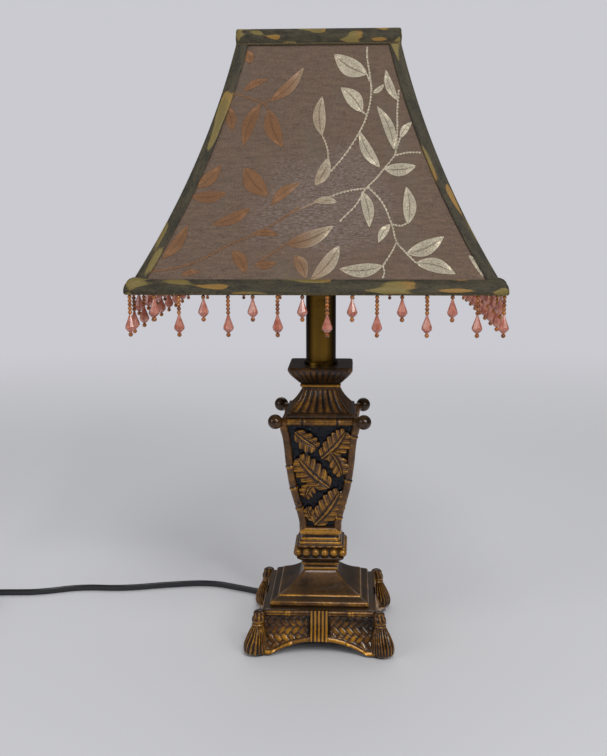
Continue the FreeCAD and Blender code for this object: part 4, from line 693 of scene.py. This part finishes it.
def piece(name, bm, finish, body="base", replaces=(), sharp=None):
    """A finished object from a mesh, riding on its body and standing for its nodes."""
    mesh = meshed(name, bm)
    mesh.materials.append(finish_named(finish))
    if sharp == 0:
        mesh.shade_flat()
    else:
        mesh.shade_smooth()
        if sharp:
            mesh.set_sharp_from_angle(angle=sharp)
    item = placed(name, mesh)
    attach(item, body)
    if replaces:
        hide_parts(*replaces)
    return item


# Foot

def foot_half(height):
    """Half width of the foot, flared towards the table."""
    rise = min(max((height - FOOT_LOW) / (FOOT_TOP - FOOT_LOW), 0), 1)
    return 43 + 11 * (1 - rise) ** 2.2


def arch_level(x):
    """Underside of the arch at a place along a side."""
    radius, top, half = 83.1, 10.4, 38
    if abs(x) >= half:
        return FOOT_LOW
    return max(FOOT_LOW, top - radius + math.sqrt(radius * radius - x * x))


def bulge(share):
    """Height of a half round at a share of its width."""
    return math.sqrt(max(0, 1 - (2 * share - 1) ** 2)) if 0 <= share <= 1 else 0


def bell_curve(value, width):
    return math.exp(-(value / width) ** 2)


def foot_carving(x, height, low):
    """How far the carving stands out at a spot of the foot's side, and how brightly it is rubbed."""
    side = abs(x)
    band_half, rib_pitch, rail_low, rail_height = 7.4, 2.95, 29.6, 4.4
    edging_height, panel_end, strand_pitch = 4.3, 46, 5.6
    if side < band_half:
        rib = bulge((x / rib_pitch + 0.5) % 1)
        return 0.5 + 1.5 * rib, 0.05 + 0.95 * rib ** 4
    rail = (height - rail_low) / rail_height
    if 0 < rail < 1:
        knot = bell_curve(side - 23.5, 0.9) + bell_curve(side - 25.9, 0.9)
        pair = abs(math.sin(2 * math.pi * rail))
        return 0.3 + (1.7 + 0.5 * knot) * (0.75 * bulge(rail) + 0.3 * pair), 0.15 + 0.5 * pair + 0.4 * knot
    edging = (height - low) / edging_height
    if 0 <= edging < 1 and side < panel_end:
        knot = bell_curve(side - 22.5, 1.1) + bell_curve(side - 36, 1.1)
        ridge = bulge(edging)
        return 0.2 + (1.5 + 0.5 * knot) * ridge, 0.1 + 0.7 * ridge ** 2 + 0.3 * knot
    if 9 < side < panel_end and height < 29.2:
        a, b = (side + height) / strand_pitch, (side - height) / strand_pitch
        turn = (math.floor(a) - math.floor(b)) % 4
        if turn < 2:
            across, along = b % 1, (turn + a % 1) / 2
        else:
            across, along = a % 1, (3 - turn + b % 1) / 2
        plank = bulge(across) ** 0.35 * (0.4 + 0.6 * bulge(along) ** 0.5)
        glow = bell_curve(side - 23, 13) * bell_curve(height - low - 10, 9)
        return -0.8 + 1.4 * plank, plank ** 3 * (0.2 + glow)
    return -0.6, 0


def foot_side():
    """One arched side of the foot: soffit, then the carved face, fine enough for its weave."""
    under = 0.07

    def spot(u, w):
        share = 2 * u - 1
        low = FOOT_LOW
        for _ in range(4):
            low = arch_level(share * foot_half(low))
        if w < under:
            inner = 43 - 9 * low / 30
            depth = inner + (foot_half(low) - inner) * w / under
            return (share * depth, -depth, low), 0
        height = low + (FOOT_TOP - low) * (w - under) / (1 - under)
        half = foot_half(height)
        lift, bright = foot_carving(share * half, height, low)
        fade = min(1, (1 - abs(share)) / 0.02) * min(1, (w - under) / 0.02)
        return (share * half, -half - lift * fade, height), bright
    return laid(240, 78, spot)


def foot_hollow():
    """The hollow under the foot, its walls cut to the arches."""
    levels = ((1.2, 43), (30, 34), (30.05, 16), (48.5, 16), (48.5, 6))

    def spot(u, w):
        mark = min(w * 4, 3.999)
        index = int(mark)
        (low, first), (high, second) = levels[index], levels[index + 1]
        share = mark - index
        half = first + (second - first) * share
        point, _, _ = squared(u, half, 1)
        return (point.x, point.y, low + (high - low) * share), 0
    bm = laid(64, 4, spot, closed=True)
    arched = [vert for vert in bm.verts if vert.co.z < 0.0013]
    for vert in arched:
        inner = min(abs(vert.co.x), abs(vert.co.y)) / MM
        vert.co.z = max(vert.co.z, arch_level(inner) * MM)
    bmesh.ops.reverse_faces(bm, faces=bm.faces)
    return bm


def tassel():
    """A corner tassel: bound head, two rings of cord and a skirt of twisted strands."""
    rise = FOOT_TOP - FOOT_LOW
    radius = bpy.context.scene.lamp_sizes.tassel_radius / MM

    def spot(u, w):
        angle = u * 2 * math.pi
        if w < 0.05:
            up, cap = 0, w / 0.05
        elif w > 0.95:
            up, cap = 1.03, (1 - w) / 0.05
        else:
            up, cap = (w - 0.05) / 0.9 * 1.03, 1
        wide = radius * smooth_at(TASSEL, up)
        lean = 49.7 - 0.24 * radius * 2 * max(min(up, 1) - 0.24, 0)
        bright = 0.1
        if up < 0.66:
            twist = 1.4 * math.sin(3.2 * up + 2 * angle)
            strand = abs(math.cos(10 * angle + twist)) ** 0.8
            thread = abs(math.cos(27 * angle + 2 * twist))
            wide += (1.3 * (strand - 0.7) + 0.3 * thread) * min(1, up / 0.05)
            bright = 0.75 * strand ** 3 + 0.3 * thread ** 4 - 0.1
        elif up < 0.8:
            cord_ring = abs(math.sin(2 * math.pi * (up - 0.66) / 0.14))
            wide += 0.9 * cord_ring
            bright = 0.2 + 0.7 * cord_ring ** 2
        elif up < 1:
            fold = abs(math.cos(4 * angle + 3 * up))
            wide += 0.8 * (fold - 0.4)
            bright = 0.15 + 0.45 * fold ** 2
        wide *= cap
        return (lean + wide * math.cos(angle), lean + wide * math.sin(angle), FOOT_LOW + rise * up), bright
    return laid(128, 84, spot, closed=True)


class LAMP_OT_foot(bpy.types.Operator):
    """Builds the arched foot with its weave, bamboo edging, ribbed bands, tassels and pyramid"""
    bl_idname = "lamp.foot"
    bl_label = "Foot"

    def execute(self, context):
        piece("foot_sides", all_round(foot_side()), "patina_resin", replaces=("foot_casting",))
        body = Heap()
        body.add(square_casting(PLINTH, 1.4))
        body.add(foot_hollow())
        piece("foot_plinth", body.bm, "patina_resin", sharp=0.9)
        piece("foot_tassels", all_round(tassel()), "patina_resin")
        return {"FINISHED"}


# Collar, column, roof and cup

def gadroons(count, depth, low, high, bright):
    """Convex flutes along a side between two heights."""
    def relief(along, height):
        if abs(along) >= 1 or not low < height < high:
            return 0, 0
        fade = min(1, (height - low) / 0.9) * min(1, (high - height) / 0.9)
        rib = abs(math.cos(along * count * math.pi / 2))
        return depth * fade * (rib ** 0.5 - 0.8), fade * (bright * rib ** 1.6 - 1.2 * (1 - rib) ** 3)
    return relief


class LAMP_OT_collar(bpy.types.Operator):
    """Builds the square collar with its rows of beads"""
    bl_idname = "lamp.collar"
    bl_label = "Beaded collar"

    def execute(self, context):
        gaps = context.scene.lamp_sizes.collar_beads - 1
        reach, level, radius = 18.2, 72.6, 3.15
        heap = Heap()
        heap.add(square_casting(COLLAR, 3.2, relief=gadroons(gaps, 0.8, 74.4, 78.4, 0.2)))
        for index in range(gaps):
            heap.add(ball((-reach + 2 * reach * index / gaps, -reach, level), radius, 0.75, 24), ALL_SIDES)
        piece("collar_carving", heap.bm, "patina_resin", replaces=("beaded_collar",))
        return {"FINISHED"}


def column_core():
    """Solid ground of the column, set back behind its posts."""
    heights = (92.4, 97, 108, 120, 132, 144, 156, 168, 176)
    levels = [(height, smooth_at(POSTS, height) - GROUND_DEPTH, 0) for height in heights]
    levels += [(182, 26.6, 0), (184, 26.4, 0)]
    return square_casting(levels, 1, across=96)


def post(knots):
    """A bamboo corner post at the right front corner, with its knots and the grooves above them."""
    radius = bpy.context.scene.lamp_sizes.post_radius / MM
    low, high, groove = 88.6, 182.6, 1.5

    def near(w, width, above=0):
        height = low + (high - low) * w
        return sum(bell_curve(height - at - above, width) for at in knots)

    def path(w):
        height = low + (high - low) * w
        middle = smooth_at(POSTS, height) - radius
        return middle, -middle, height

    return tube(path, lambda w: radius * (1 + 0.2 * near(w, 0.8) - 0.14 * near(w, 0.45, groove)), 28, 150,
                lambda w: 0.47 + 0.4 * near(w, 0.9) - 0.6 * near(w, 0.6, groove), (0, 1, 0))


def top_rail():
    """Bamboo rail of three lengths under the roof's edge, at the front."""
    radius = bpy.context.scene.lamp_sizes.rail_radius / MM
    reach, joints = 29, (-13.5, 13.5)

    def near(w, width, beside=0):
        x = -reach + 2 * reach * w
        return sum(bell_curve(abs(x - at) - beside, width) for at in joints)

    return tube(lambda w: (-reach + 2 * reach * w, -26.9, 181.3),
                lambda w: radius * (1 + 0.16 * near(w, 0.7, 1.1) - 0.22 * near(w, 0.5)), 24, 120,
                lambda w: 0.68 - 0.7 * near(w, 0.7))


def carved_leaf(x1, z1, x2, z2, half, curl, lobes, lift):
    """A lobed leaf with a midrib and side veins, carved on the front of the column."""
    base, tip = Vector((x1, z1)), Vector((x2, z2))
    run = (tip - base).length
    ahead = (tip - base) / run
    aside = Vector((-ahead.y, ahead.x))
    proud = bpy.context.scene.lamp_sizes.leaf_height / MM

    def spot(u, w):
        share = 2 * u - 1
        wall = abs(share) > 0.93 or w < 0.02 or w > 0.985
        out = min(abs(share) / 0.93, 1) * math.copysign(1, share)
        swell = math.sin(math.pi * min(1, 0.1 + 0.88 * w)) ** 0.6
        lobe = abs(math.sin(math.pi * (lobes * w + 0.15)))
        fine = abs(math.sin(math.pi * (3 * lobes * w + 0.45)))
        wide = half * 1.2 * swell * (0.7 + 0.3 * lobe ** 0.5)
        middle = base + ahead * run * w * 0.93 + aside * curl * run * math.sin(math.pi * w)
        flat = middle + aside * wide * out + ahead * half * 0.7 * abs(out) ** 1.3 * swell
        ground = smooth_at(POSTS, flat.y) - GROUND_DEPTH
        midrib = bell_curve(out, 0.085)
        channel = bell_curve(abs(out) - 0.17, 0.09)
        vein = lobe ** 2 * abs(out)
        dish = 1 - 0.75 * out * out
        height = lift + proud * (0.45 + 0.62 * dish + 0.45 * vein + 0.16 * fine * abs(out) ** 0.5 + 0.35 * midrib
                                 - 0.4 * channel)
        bright = (0.56 + 0.3 * vein + 0.55 * (fine - 0.5) * abs(out) ** 0.4 + 0.5 * midrib - 0.7 * channel
                  - 0.6 * (1 - lobe) * abs(out))
        if wall:
            height, bright = -0.6, 0.05
        return (flat.x, -ground - height, flat.y), min(max(bright, 0), 1)
    return laid(26, 110, spot)


class LAMP_OT_column(bpy.types.Operator):
    """Builds the tapered column: enamel ground, carved leaves, bamboo posts and rails, knobs and lower band"""
    bl_idname = "lamp.column"
    bl_label = "Column"

    def execute(self, context):
        piece("column_ground", column_core(), "recess_enamel", replaces=("column_casting",), sharp=0.8)
        leaves = all_round(*(carved_leaf(*leaf) for leaf in COLUMN_LEAVES))
        piece("column_leaves", leaves, "leaf_resin")
        bamboo = Heap()
        bamboo.add(post(RIGHT_KNOTS), (0, 2))
        bamboo.add(post(LEFT_KNOTS), (1, 3))
        bamboo.add(top_rail(), ALL_SIDES)
        piece("column_bamboo", bamboo.bm, "leaf_resin")
        inner, outer = Vector((27, -27, 181)), Vector((33, -33, 182.8))
        neck = tube(lambda w: inner.lerp(outer, w), lambda w: 3.9 - 0.9 * w, 20, 12, lambda w: 0.35)
        knob = ball((34, -34, 183), context.scene.lamp_sizes.knob_radius / MM, 0.25, 30)
        piece("column_knobs", all_round(neck, knob), "patina_resin")
        piece("column_band", square_casting(BAND, 4.2), "patina_resin")
        return {"FINISHED"}


class LAMP_OT_crown(bpy.types.Operator):
    """Builds the fluted roof and the fluted cup above the column"""
    bl_idname = "lamp.crown"
    bl_label = "Fluted roof and cup"

    def execute(self, context):
        sizes = context.scene.lamp_sizes
        roof = square_casting(ROOF, 1.3, 300, 4, gadroons(sizes.roof_flutes, 1.9, 188.2, 204.8, 0.34))
        piece("roof_carving", roof, "patina_resin", replaces=("fluted_roof",))
        cup = square_casting(CUP, 2.6, 300, 4, gadroons(sizes.cup_flutes, 2, 209.8, 221.4, 0.12))
        piece("cup_carving", cup, "patina_resin", replaces=("fluted_cup",))
        return {"FINISHED"}


# Shade

class Bell:
    """Concave side of the shade: an arc up to the top band, then a short upright."""

    centre = (654.8, 606.2)
    radius = 615.6
    top_half = 57.3

    def half(self, height, depth=0):
        if height >= BAND_LEVEL:
            return self.top_half - depth
        return self.centre[0] - math.sqrt((self.radius + depth) ** 2 - (height - self.centre[1]) ** 2)

    def run(self, low, high):
        """Length of the side from one height to another."""
        bend = min(high, BAND_LEVEL)
        angles = [math.asin((height - self.centre[1]) / self.radius) for height in (low, bend)]
        return self.radius * (angles[1] - angles[0]) + max(high - BAND_LEVEL, 0)

    def area(self, low, high, depth=0):
        """Area of one side between two heights, in square metres."""
        steps = 60
        levels = [low + (high - low) * step / steps for step in range(steps + 1)]
        strips = (2 * self.half((a + b) / 2, depth) * self.run(a, b) for a, b in zip(levels, levels[1:]))
        return sum(strips) * MM * MM


BELL = Bell()


def cloth_side(low, high, depth, across=48, along=72):
    def spot(u, w):
        height = low + (high - low) * w
        half = BELL.half(height, depth)
        return ((2 * u - 1) * half, -half, height), 0
    return laid(across, along, spot, (SHADE_WIDTH, BELL.run(low, high) * MM))


def on_cloth(x, height, depth):
    """A spot on the front side, kept inside its edges."""
    height = min(max(height, SHADE_LEVEL + 1), BAND_LEVEL + 2)
    half = BELL.half(height, depth)
    return min(max(x, -half + 1), half - 1), -half, height


# Painted highlight: how much a woven leaf or stem glints, growing towards the right and the top of each side
def painted_glint(x, height):
    return min(max(0.5 + x / 62 + (height - 400) / 900, 0), 1)


def woven_leaf(x1, z1, x2, z2, half):
    base, tip = Vector((x1, z1)), Vector((x2, z2))
    ahead = tip - base
    aside = Vector((-ahead.y, ahead.x)).normalized()
    bow = 0.07 if x1 + z1 + x2 + z2 & 1 else -0.07

    def spot(u, w):
        wide = half * math.sin(math.pi * w) ** 0.8 * (1.12 - 0.3 * w)
        flat = base + ahead * w + aside * ((2 * u - 1) * wide + bow * ahead.length * math.sin(math.pi * w))
        return on_cloth(flat.x, flat.y, 0.62), painted_glint(flat.x, flat.y)
    return laid(8, 18, spot)


def woven_stem(points):
    table = [(index, *point) for index, point in enumerate(points)]
    last = len(points) - 1
    total = sum((Vector(b) - Vector(a)).length for a, b in zip(points, points[1:]))

    def spot(u, w):
        mark = w * last
        here = Vector((smooth_at(table, mark, 1), smooth_at(table, mark, 2)))
        near = min(mark + 0.05, last), max(mark - 0.05, 0)
        ahead = Vector([smooth_at(table, near[0], c) - smooth_at(table, near[1], c) for c in (1, 2)]).normalized()
        stitch = math.sin(w * total * 2 * math.pi / 2.2)
        flat = here + Vector((-ahead.y, ahead.x)) * ((2 * u - 1) * (0.5 + 0.25 * stitch) + 0.12 * stitch)
        return on_cloth(flat.x, flat.y, 0.6), painted_glint(flat.x, flat.y) * 1.1
    return laid(2, max(8, int(total / 0.5)), spot, (1, total / 4))


def ribbon(low, high, lap, fold):
    """A trim laid round the shade's front side; its corner folds stand proud by the lap."""
    corner_reach = 1.6

    def spot(u, w):
        corner = lap * bell_curve(abs(2 * u - 1) - 1, 0.045) * w
        height = low + (high - low) * w + 0.5 * corner
        edge = bulge(min(max(w * 0.96 + 0.02, 0), 1)) ** 0.5
        out = (CLOTH_DEPTH + corner) * edge + fold(u, w)
        half = BELL.half(height, CLOTH_DEPTH - out)
        x = (2 * u - 1) * half
        y = -half
        over = abs(x) - (half - corner_reach)
        if over > 0:
            y += 0.3 * over * over / corner_reach
        return (x, y, height), bell_curve(abs(2 * u - 1) - 0.97, 0.04)
    return laid(120, 12, spot, (SHADE_WIDTH, (high - low) * MM * 1.1))


def corner_strip(low, high, wide):
    """The folded trim along the front right corner, rounded over the edge."""
    def spot(w, u):
        height = low + (high - low) * w
        half = BELL.half(height)
        across = (2 * u - 1) * wide
        over = max(0, 1.6 - abs(across))
        sink = 0.9 * (1 - bulge(min(max(u, 0.004), 0.996)) ** 0.35) + 0.16 * over * over
        x = half - max(0, -across) - sink * (0.25 if across < 0 else 1)
        y = -half + max(0, across) + sink * (1 if across < 0 else 0.25)
        return (x, y, height), 0
    return laid(100, 28, spot, (BELL.run(low, high) * MM, 2 * wide * MM))


def rolled_edge(height, radius):
    """Thin rolled edge along the front side of a trim."""
    half = BELL.half(height)
    return tube(lambda w: (-half + 2 * half * w, -half, height), lambda w: radius, 10, 60, lambda w: 0)


class LAMP_OT_shade(bpy.types.Operator):
    """Builds the cloth sides with their woven leaves, the lining, the trims and the fringe tape"""
    bl_idname = "lamp.shade"
    bl_label = "Shade"

    def execute(self, context):
        sizes = context.scene.lamp_sizes
        run = BELL.run(SHADE_LEVEL, SHADE_TOP) * MM
        area = BELL.area(SHADE_LEVEL, SHADE_TOP, CLOTH_DEPTH)
        for quarter, side in enumerate(("front", "right", "back", "left")):
            heap = Heap()
            heap.add(cloth_side(SHADE_LEVEL + 0.2, SHADE_TOP - 0.2, CLOTH_DEPTH), (quarter,))
            cloth = piece(f"cloth_{side}", heap.bm, "shade_brocade", "shade", (f"fabric_{side}",))
            self.thicken(cloth, sizes.cloth_thickness)
            pattern = Heap()
            for bm in (*(woven_leaf(*leaf) for leaf in WOVEN_LEAVES), *map(woven_stem, WOVEN_STEMS)):
                pattern.add(bm, (quarter,), side in ("right", "left"))
            leaves = piece(f"leaves_{side}", pattern.bm, "woven_thread", "shade")

        low, high, wide = SHADE_LEVEL + 6, BAND_LEVEL - 1.5, 244
        inside = all_round(cloth_side(low, high, LINING_DEPTH, 40, 40))
        lining = piece("lining", inside, "lining_cloth", "shade", ("shade_lining",))
        self.thicken(lining, 0.0005)
        BELL.run(low, high) * MM
        4 * BELL.area(low, high, LINING_DEPTH)

        low, high = SHADE_LEVEL, SHADE_LEVEL + 10
        self.trim("trim_bottom", "bottom_trim", low, high, 2 * BELL.half(SHADE_LEVEL + 5), 1.5, 2.8)
        self.trim("trim_top", "top_trim", BAND_LEVEL - 0.4, SHADE_TOP, 2 * BELL.top_half, 0.5, 0)
        low, high, wide = SHADE_LEVEL + 8.5, BAND_LEVEL + 0.8, 8
        corners = all_round(corner_strip(low, high, wide))
        strips = piece("trim_corners", corners, "trim_brocade", "shade", ("corner_trims",))
        self.thicken(strips, sizes.trim_thickness * 0.6)
        BELL.run(low, high) * MM

        low, high, depth = SHADE_LEVEL + 0.3, SHADE_LEVEL + 6.3, 1.5
        wide, turned_edge = 252, 4
        tape = all_round(cloth_side(low, high, depth, 60, 6))
        band = piece("fringe_band", tape, "tape_cloth", "shade", ("fringe_tape",))
        self.thicken(band, 0.0006)
        BELL.run(low, high) * MM + turned_edge * MM
        4 * BELL.area(low, high, depth)
        return {"FINISHED"}

    def thicken(self, item, thickness):
        wall = item.modifiers.new("thickness", "SOLIDIFY")
        wall.thickness = thickness
        wall.offset = -1

    def trim(self, name, node, low, high, wide, puff, lap):
        def fold(u, w):
            pleat = bell_curve(abs(2 * u - 1) - 0.95, 0.03)
            crease = bell_curve(w - 0.72 - 0.06 * math.sin(u * 17), 0.06)
            return puff * bulge(w) + 0.16 * math.sin(u * 23) * math.sin(w * 3) + 0.3 * pleat - 0.3 * crease
        folded = all_round(ribbon(low, high, lap, fold), rolled_edge(low + 0.7, 0.75))
        band = piece(name, folded, "trim_brocade", "shade", (node,))
        4 * wide * MM


def drop_spots(count):
    """Place along a side and seed beads of each hanging drop, long and short in turn."""
    first = -123.8
    return [(first - 2 * first / count * index, 5 if index % 2 == 0 else 1) for index in range(count)]


class LAMP_OT_fringe(bpy.types.Operator):
    """Hangs the faceted teardrop beads under the shade"""
    bl_idname = "lamp.fringe"
    bl_label = "Beaded fringe"

    def execute(self, context):
        sizes = context.scene.lamp_sizes
        heap = Heap()
        radius, long = sizes.drop_radius / MM, sizes.drop_length / MM
        line, seed_radius, seed_pitch = 124.7, 1.45, 2.6
        for quarter in ALL_SIDES:
            for number, (x, seeds) in enumerate(drop_spots(sizes.drops)):
                top = SHADE_LEVEL - seed_radius - (seeds - 1) * seed_pitch - seed_radius
                turn = 0.37 * number + quarter

                def spot(u, w, x=x, top=top, turn=turn):
                    down, out = TEARDROP[round(w * (len(TEARDROP) - 1))]
                    angle = u * 2 * math.pi + turn
                    reach = radius * out
                    return (x + reach * math.cos(angle), -line + reach * math.sin(angle), top - long * down), 0
                bead = laid(9, len(TEARDROP) - 1, spot, closed=True)
                bmesh.ops.holes_fill(bead, edges=bead.edges, sides=0)
                heap.add(bead, (quarter,))
        bmesh.ops.recalc_face_normals(heap.bm, faces=heap.bm.faces)
        piece("drop_beads", heap.bm, "rose_glass", "shade", ("teardrop_beads",), sharp=0)
        return {"FINISHED"}


# Lead

# Route of the lead from inside the foot to its coil, then the level and the places of what lies on the table
LEAD_START = ((0, 0, 38), (0, 0, 26.3), (-1.1, 4.3, 15.6), (-3.1, 12.3, 7.3))
LEAD_LAID = (
    (-5.7, 22.8), (-9, 35.9), (-16.2, 47.9), (-26.6, 57.3), (-50, 68), (-76, 79.4), (-103.5, 91.2), (-140, 85.6),
    (-183, 73.4), (-221, 75.7), (-256, 61.2), (-284, 60), (-307.5, 58.3), (-329.5, 58.3),
)


def eased(share):
    return share * share * (3 - 2 * share)


def coil_spot(turn):
    """Centre of the put-away lead after a number of turns: in by three, up a layer, out and off to the plug."""
    pitch, inner, upper, plug_level, plug_reach = 6.4, 19.8, 9.25, 6.45, 53.25
    climb = turn - 3
    back = climb - 0.5
    last = (back - 3.5) * 2
    if climb <= 0:
        radius, height = inner + 3 * pitch - pitch * turn, LEAD_LEVEL
    elif back <= 0:
        radius, height = inner - pitch * min(climb, -back), LEAD_LEVEL + (upper - LEAD_LEVEL) * eased(2 * climb)
    elif last <= 0:
        radius, height = inner + pitch * back, upper
    else:
        wide = inner + 3.5 * pitch
        radius, height = wide + (plug_reach - wide) * last, upper + (plug_level - upper) * eased(last)
    angle = math.pi / 2 + 2 * math.pi * turn
    return -335 + radius * math.cos(angle), 19.3 + radius * math.sin(angle), height


def lead_line():
    """Points read along the lead's spline, in metres."""
    per_turn = 16
    points = [*LEAD_START, *((x, y, LEAD_LEVEL) for x, y in LEAD_LAID)]
    points += [coil_spot(step / per_turn) for step in range(int(7.5 * per_turn) + 1)]
    x, y, height = points[-1]
    points.append((x + 5.5, y, height))
    data = bpy.data.curves.new("lead_route", "CURVE")
    data.dimensions = "3D"
    data.resolution_u = 8
    spline = data.splines.new("NURBS")
    spline.points.add(len(points) - 1)
    for item, point in zip(spline.points, points):
        item.co = (*(value * MM for value in point), 1)
    spline.order_u = 3
    spline.use_endpoint_u = True
    route = bpy.data.objects.new("lead_route", data)
    mesh = bpy.data.meshes.new_from_object(route)
    line = [vert.co.copy() for vert in mesh.vertices]
    bpy.data.objects.remove(route)
    bpy.data.curves.remove(data)
    bpy.data.meshes.remove(mesh)
    return line


def twin_section(share, width, depth):
    """Outline of a flat twin lead: two round cores side by side with a groove between them."""
    angle = share * 2 * math.pi
    core = depth / 2
    shift = (width - depth) / 2
    side = math.copysign(1, math.cos(angle)) if abs(math.cos(angle)) > 1e-6 else 0
    along = math.cos(angle) * core + side * shift * min(1, abs(math.cos(angle)) * 2.2)
    waist = 1 - 0.32 * bell_curve(along, 0.16 * width)
    return along, math.sin(angle) * core * waist


class LAMP_OT_lead(bpy.types.Operator):
    """Lays the flat twin lead from the foot to its plug"""
    bl_idname = "lamp.lead"
    bl_label = "Mains lead"

    def execute(self, context):
        sizes = context.scene.lamp_sizes
        line = lead_line()
        headings = [(after - before).normalized() for before, after in zip(line[:1] + line, line[1:] + line[-1:])]
        sides = []
        known = Vector((-1.1, 4.3, 0)).normalized()
        for heading in headings:
            level = Vector((heading.x, heading.y, 0))
            if level.length > 0.05:
                known = level.normalized()
            sides.append(Vector((-known.y, known.x, 0)))
        last = len(line) - 1

        def spot(u, w):
            index = round(w * last)
            tall, across = twin_section(u, sizes.cord_width, sizes.cord_depth)
            upright = headings[index].cross(sides[index]).normalized()
            return (line[index] + upright * tall + sides[index] * across) / MM, 0
        bm = laid(20, last, spot, (1, sizes.cord_length), closed=True)
        bmesh.ops.holes_fill(bm, edges=bm.edges, sides=0)
        bmesh.ops.recalc_face_normals(bm, faces=bm.faces)
        lead = piece("mains_lead", bm, "cord_vinyl", replaces=("cord_stretch", "cord_coil"))
        return {"FINISHED"}


# Finishes of the frame's own pieces

NODE_FINISHES = {
    "felt": ("felt_pads",),
    "zinc_steel": ("threaded_pipe", "bottom_washer", "bottom_nut", "saddle_locknut", "harp_saddle", "harp",
                   "left_ferrule", "right_ferrule", "shade_fitter", "shade_ribs", "shade_bottom_ring"),
    "antique_brass": ("neck_tube", "tube_base_ring", "tube_cap", "finial_knob"),
    "bright_brass": ("socket_cap", "socket_shell", "cap_set_screw", "centre_contact", "terminal_screws", "harp_stud",
                     "finial_insert", "key_shaft"),
    "shell_aluminium": ("screw_shell", "bulb_screw_cap"),
    "black_phenolic": ("socket_block", "key_wing", "cord_bushing"),
    "paperboard": ("socket_liner",),
    "solder": ("bulb_tip",),
    "bulb_glass": ("bulb_glass",),
    "cord_vinyl": ("inner_lead", "plug_body"),
    "wire_copper": ("lead_wires",),
    "blade_brass": ("plug_blades",),
    "bead_thread": ("fringe_threads",),
    "amber_seed": ("seed_beads", "end_beads"),
}


class LAMP_OT_frame_finishes(bpy.types.Operator):
    """Gives the pieces of the frame that stay in view their finishes"""
    bl_idname = "lamp.frame_finishes"
    bl_label = "Fittings"

    def execute(self, context):
        for finish, names in NODE_FINISHES.items():
            for name in names:
                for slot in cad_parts[name].material_slots:
                    slot.link = "OBJECT"
                    slot.material = finish_named(finish)
        return {"FINISHED"}


# Stage

class LAMP_OT_stage(bpy.types.Operator):
    """Sets the camera, the floor, the soft lamps and the background"""
    bl_idname = "lamp.stage"
    bl_label = "Camera and stage"

    def execute(self, context):
        self.camera(context)
        self.floor()
        self.lamp("top_light", (0.15, -0.95, 1.45), 0.5, 6)
        self.lamp("flash", (0.38, -1, 1.05), 0.1, 3)
        self.lamp("key_light", (0.85, -1.2, 0.9), 0.5, 6)
        self.lamp("fill_light", (-1.3, -0.9, 0.8), 0.9, 5)
        self.lamp("back_light", (0, 1.3, 1.5), 1.4, 9, (0, 1, 0))
        self.background(context)
        context.scene.view_settings.view_transform = "Standard"
        return {"FINISHED"}

    def camera(self, context):
        settings = context.scene.lamp_camera
        level = math.cos(settings.down)
        view = Vector((settings.aside * level, math.sqrt(1 - settings.aside ** 2) * level, -math.sin(settings.down)))
        data = bpy.data.cameras.new("photo_camera")
        data.lens = settings.lens
        turn = view.to_track_quat("-Z", "Y").to_matrix().to_4x4() @ Matrix.Rotation(settings.roll, 4, "Z")
        context.scene.camera = placed("photo_camera", data, Matrix.Translation(settings.place) @ turn)

    def floor(self):
        bm = bmesh.new()
        bmesh.ops.create_grid(bm, x_segments=2, y_segments=2, size=4)
        mesh = meshed("floor", bm)
        mesh.materials.append(finish_named("floor_paper"))
        placed("floor", mesh)

    def lamp(self, name, place, size, power, target=(0, 0, 0.25)):
        data = bpy.data.lights.new(name, "AREA")
        data.size = size
        data.energy = power
        aim = Vector(target) - Vector(place)
        placed(name, data, Matrix.Translation(place) @ aim.to_track_quat("-Z", "Y").to_matrix().to_4x4())

    def background(self, context):
        """Pale where it is seen, a softer light around the lamp, and dim in reflections"""
        world = bpy.data.worlds.new("studio")
        world.use_nodes = True
        context.scene.world = world
        studio = Nodes(world.node_tree)
        rays = studio.node("ShaderNodeLightPath", {}).outputs
        strength = 0.6 - 0.52 * Value(studio, rays["Is Glossy Ray"])
        around = studio.node("ShaderNodeBackground", {"Color": "dcdde2", "Strength": strength})
        seen = world.node_tree.nodes["Background"]
        studio.feed(seen.inputs["Color"], "cacad0")
        direct = {0: rays["Is Camera Ray"], 1: rays["Is Transmission Ray"]}
        share = studio.value("ShaderNodeMath", direct, operation="MAXIMUM")
        studio.crossed(share, around.outputs[0], seen.outputs[0], "World Output")


OPERATORS = (LAMP_OT_stage, LAMP_OT_lead, LAMP_OT_foot, LAMP_OT_collar, LAMP_OT_column, LAMP_OT_crown, LAMP_OT_shade,
             LAMP_OT_fringe, LAMP_OT_frame_finishes)


class LAMP_PT_panel(bpy.types.Panel):
    """Lists the lamp's pieces, sizes and colours"""
    bl_idname = "LAMP_PT_panel"
    bl_label = "Accent lamp"
    bl_space_type = "VIEW_3D"
    bl_region_type = "UI"
    bl_category = "Lamp"

    def draw(self, context):
        for operator in OPERATORS:
            self.layout.operator(operator.bl_idname)
        for group in (context.scene.lamp_sizes, context.scene.lamp_colours, context.scene.lamp_camera):
            for name in group.__annotations__:
                self.layout.prop(group, name)


GROUPS = {"lamp_sizes": LampSizes, "lamp_colours": LampColours, "lamp_camera": CameraSettings}
CLASSES = (*GROUPS.values(), *OPERATORS, LAMP_PT_panel)


def register():
    for item in CLASSES:
        bpy.utils.register_class(item)
    for name, group in GROUPS.items():
        setattr(bpy.types.Scene, name, PointerProperty(type=group))


def unregister():
    for name in GROUPS:
        delattr(bpy.types.Scene, name)
    for item in reversed(CLASSES):
        bpy.utils.unregister_class(item)


def main():
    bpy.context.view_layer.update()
    register()
    for operator in OPERATORS:
        group, name = operator.bl_idname.split(".")
        getattr(getattr(bpy.ops, group), name)()


if __name__ == "__main__":
    main()
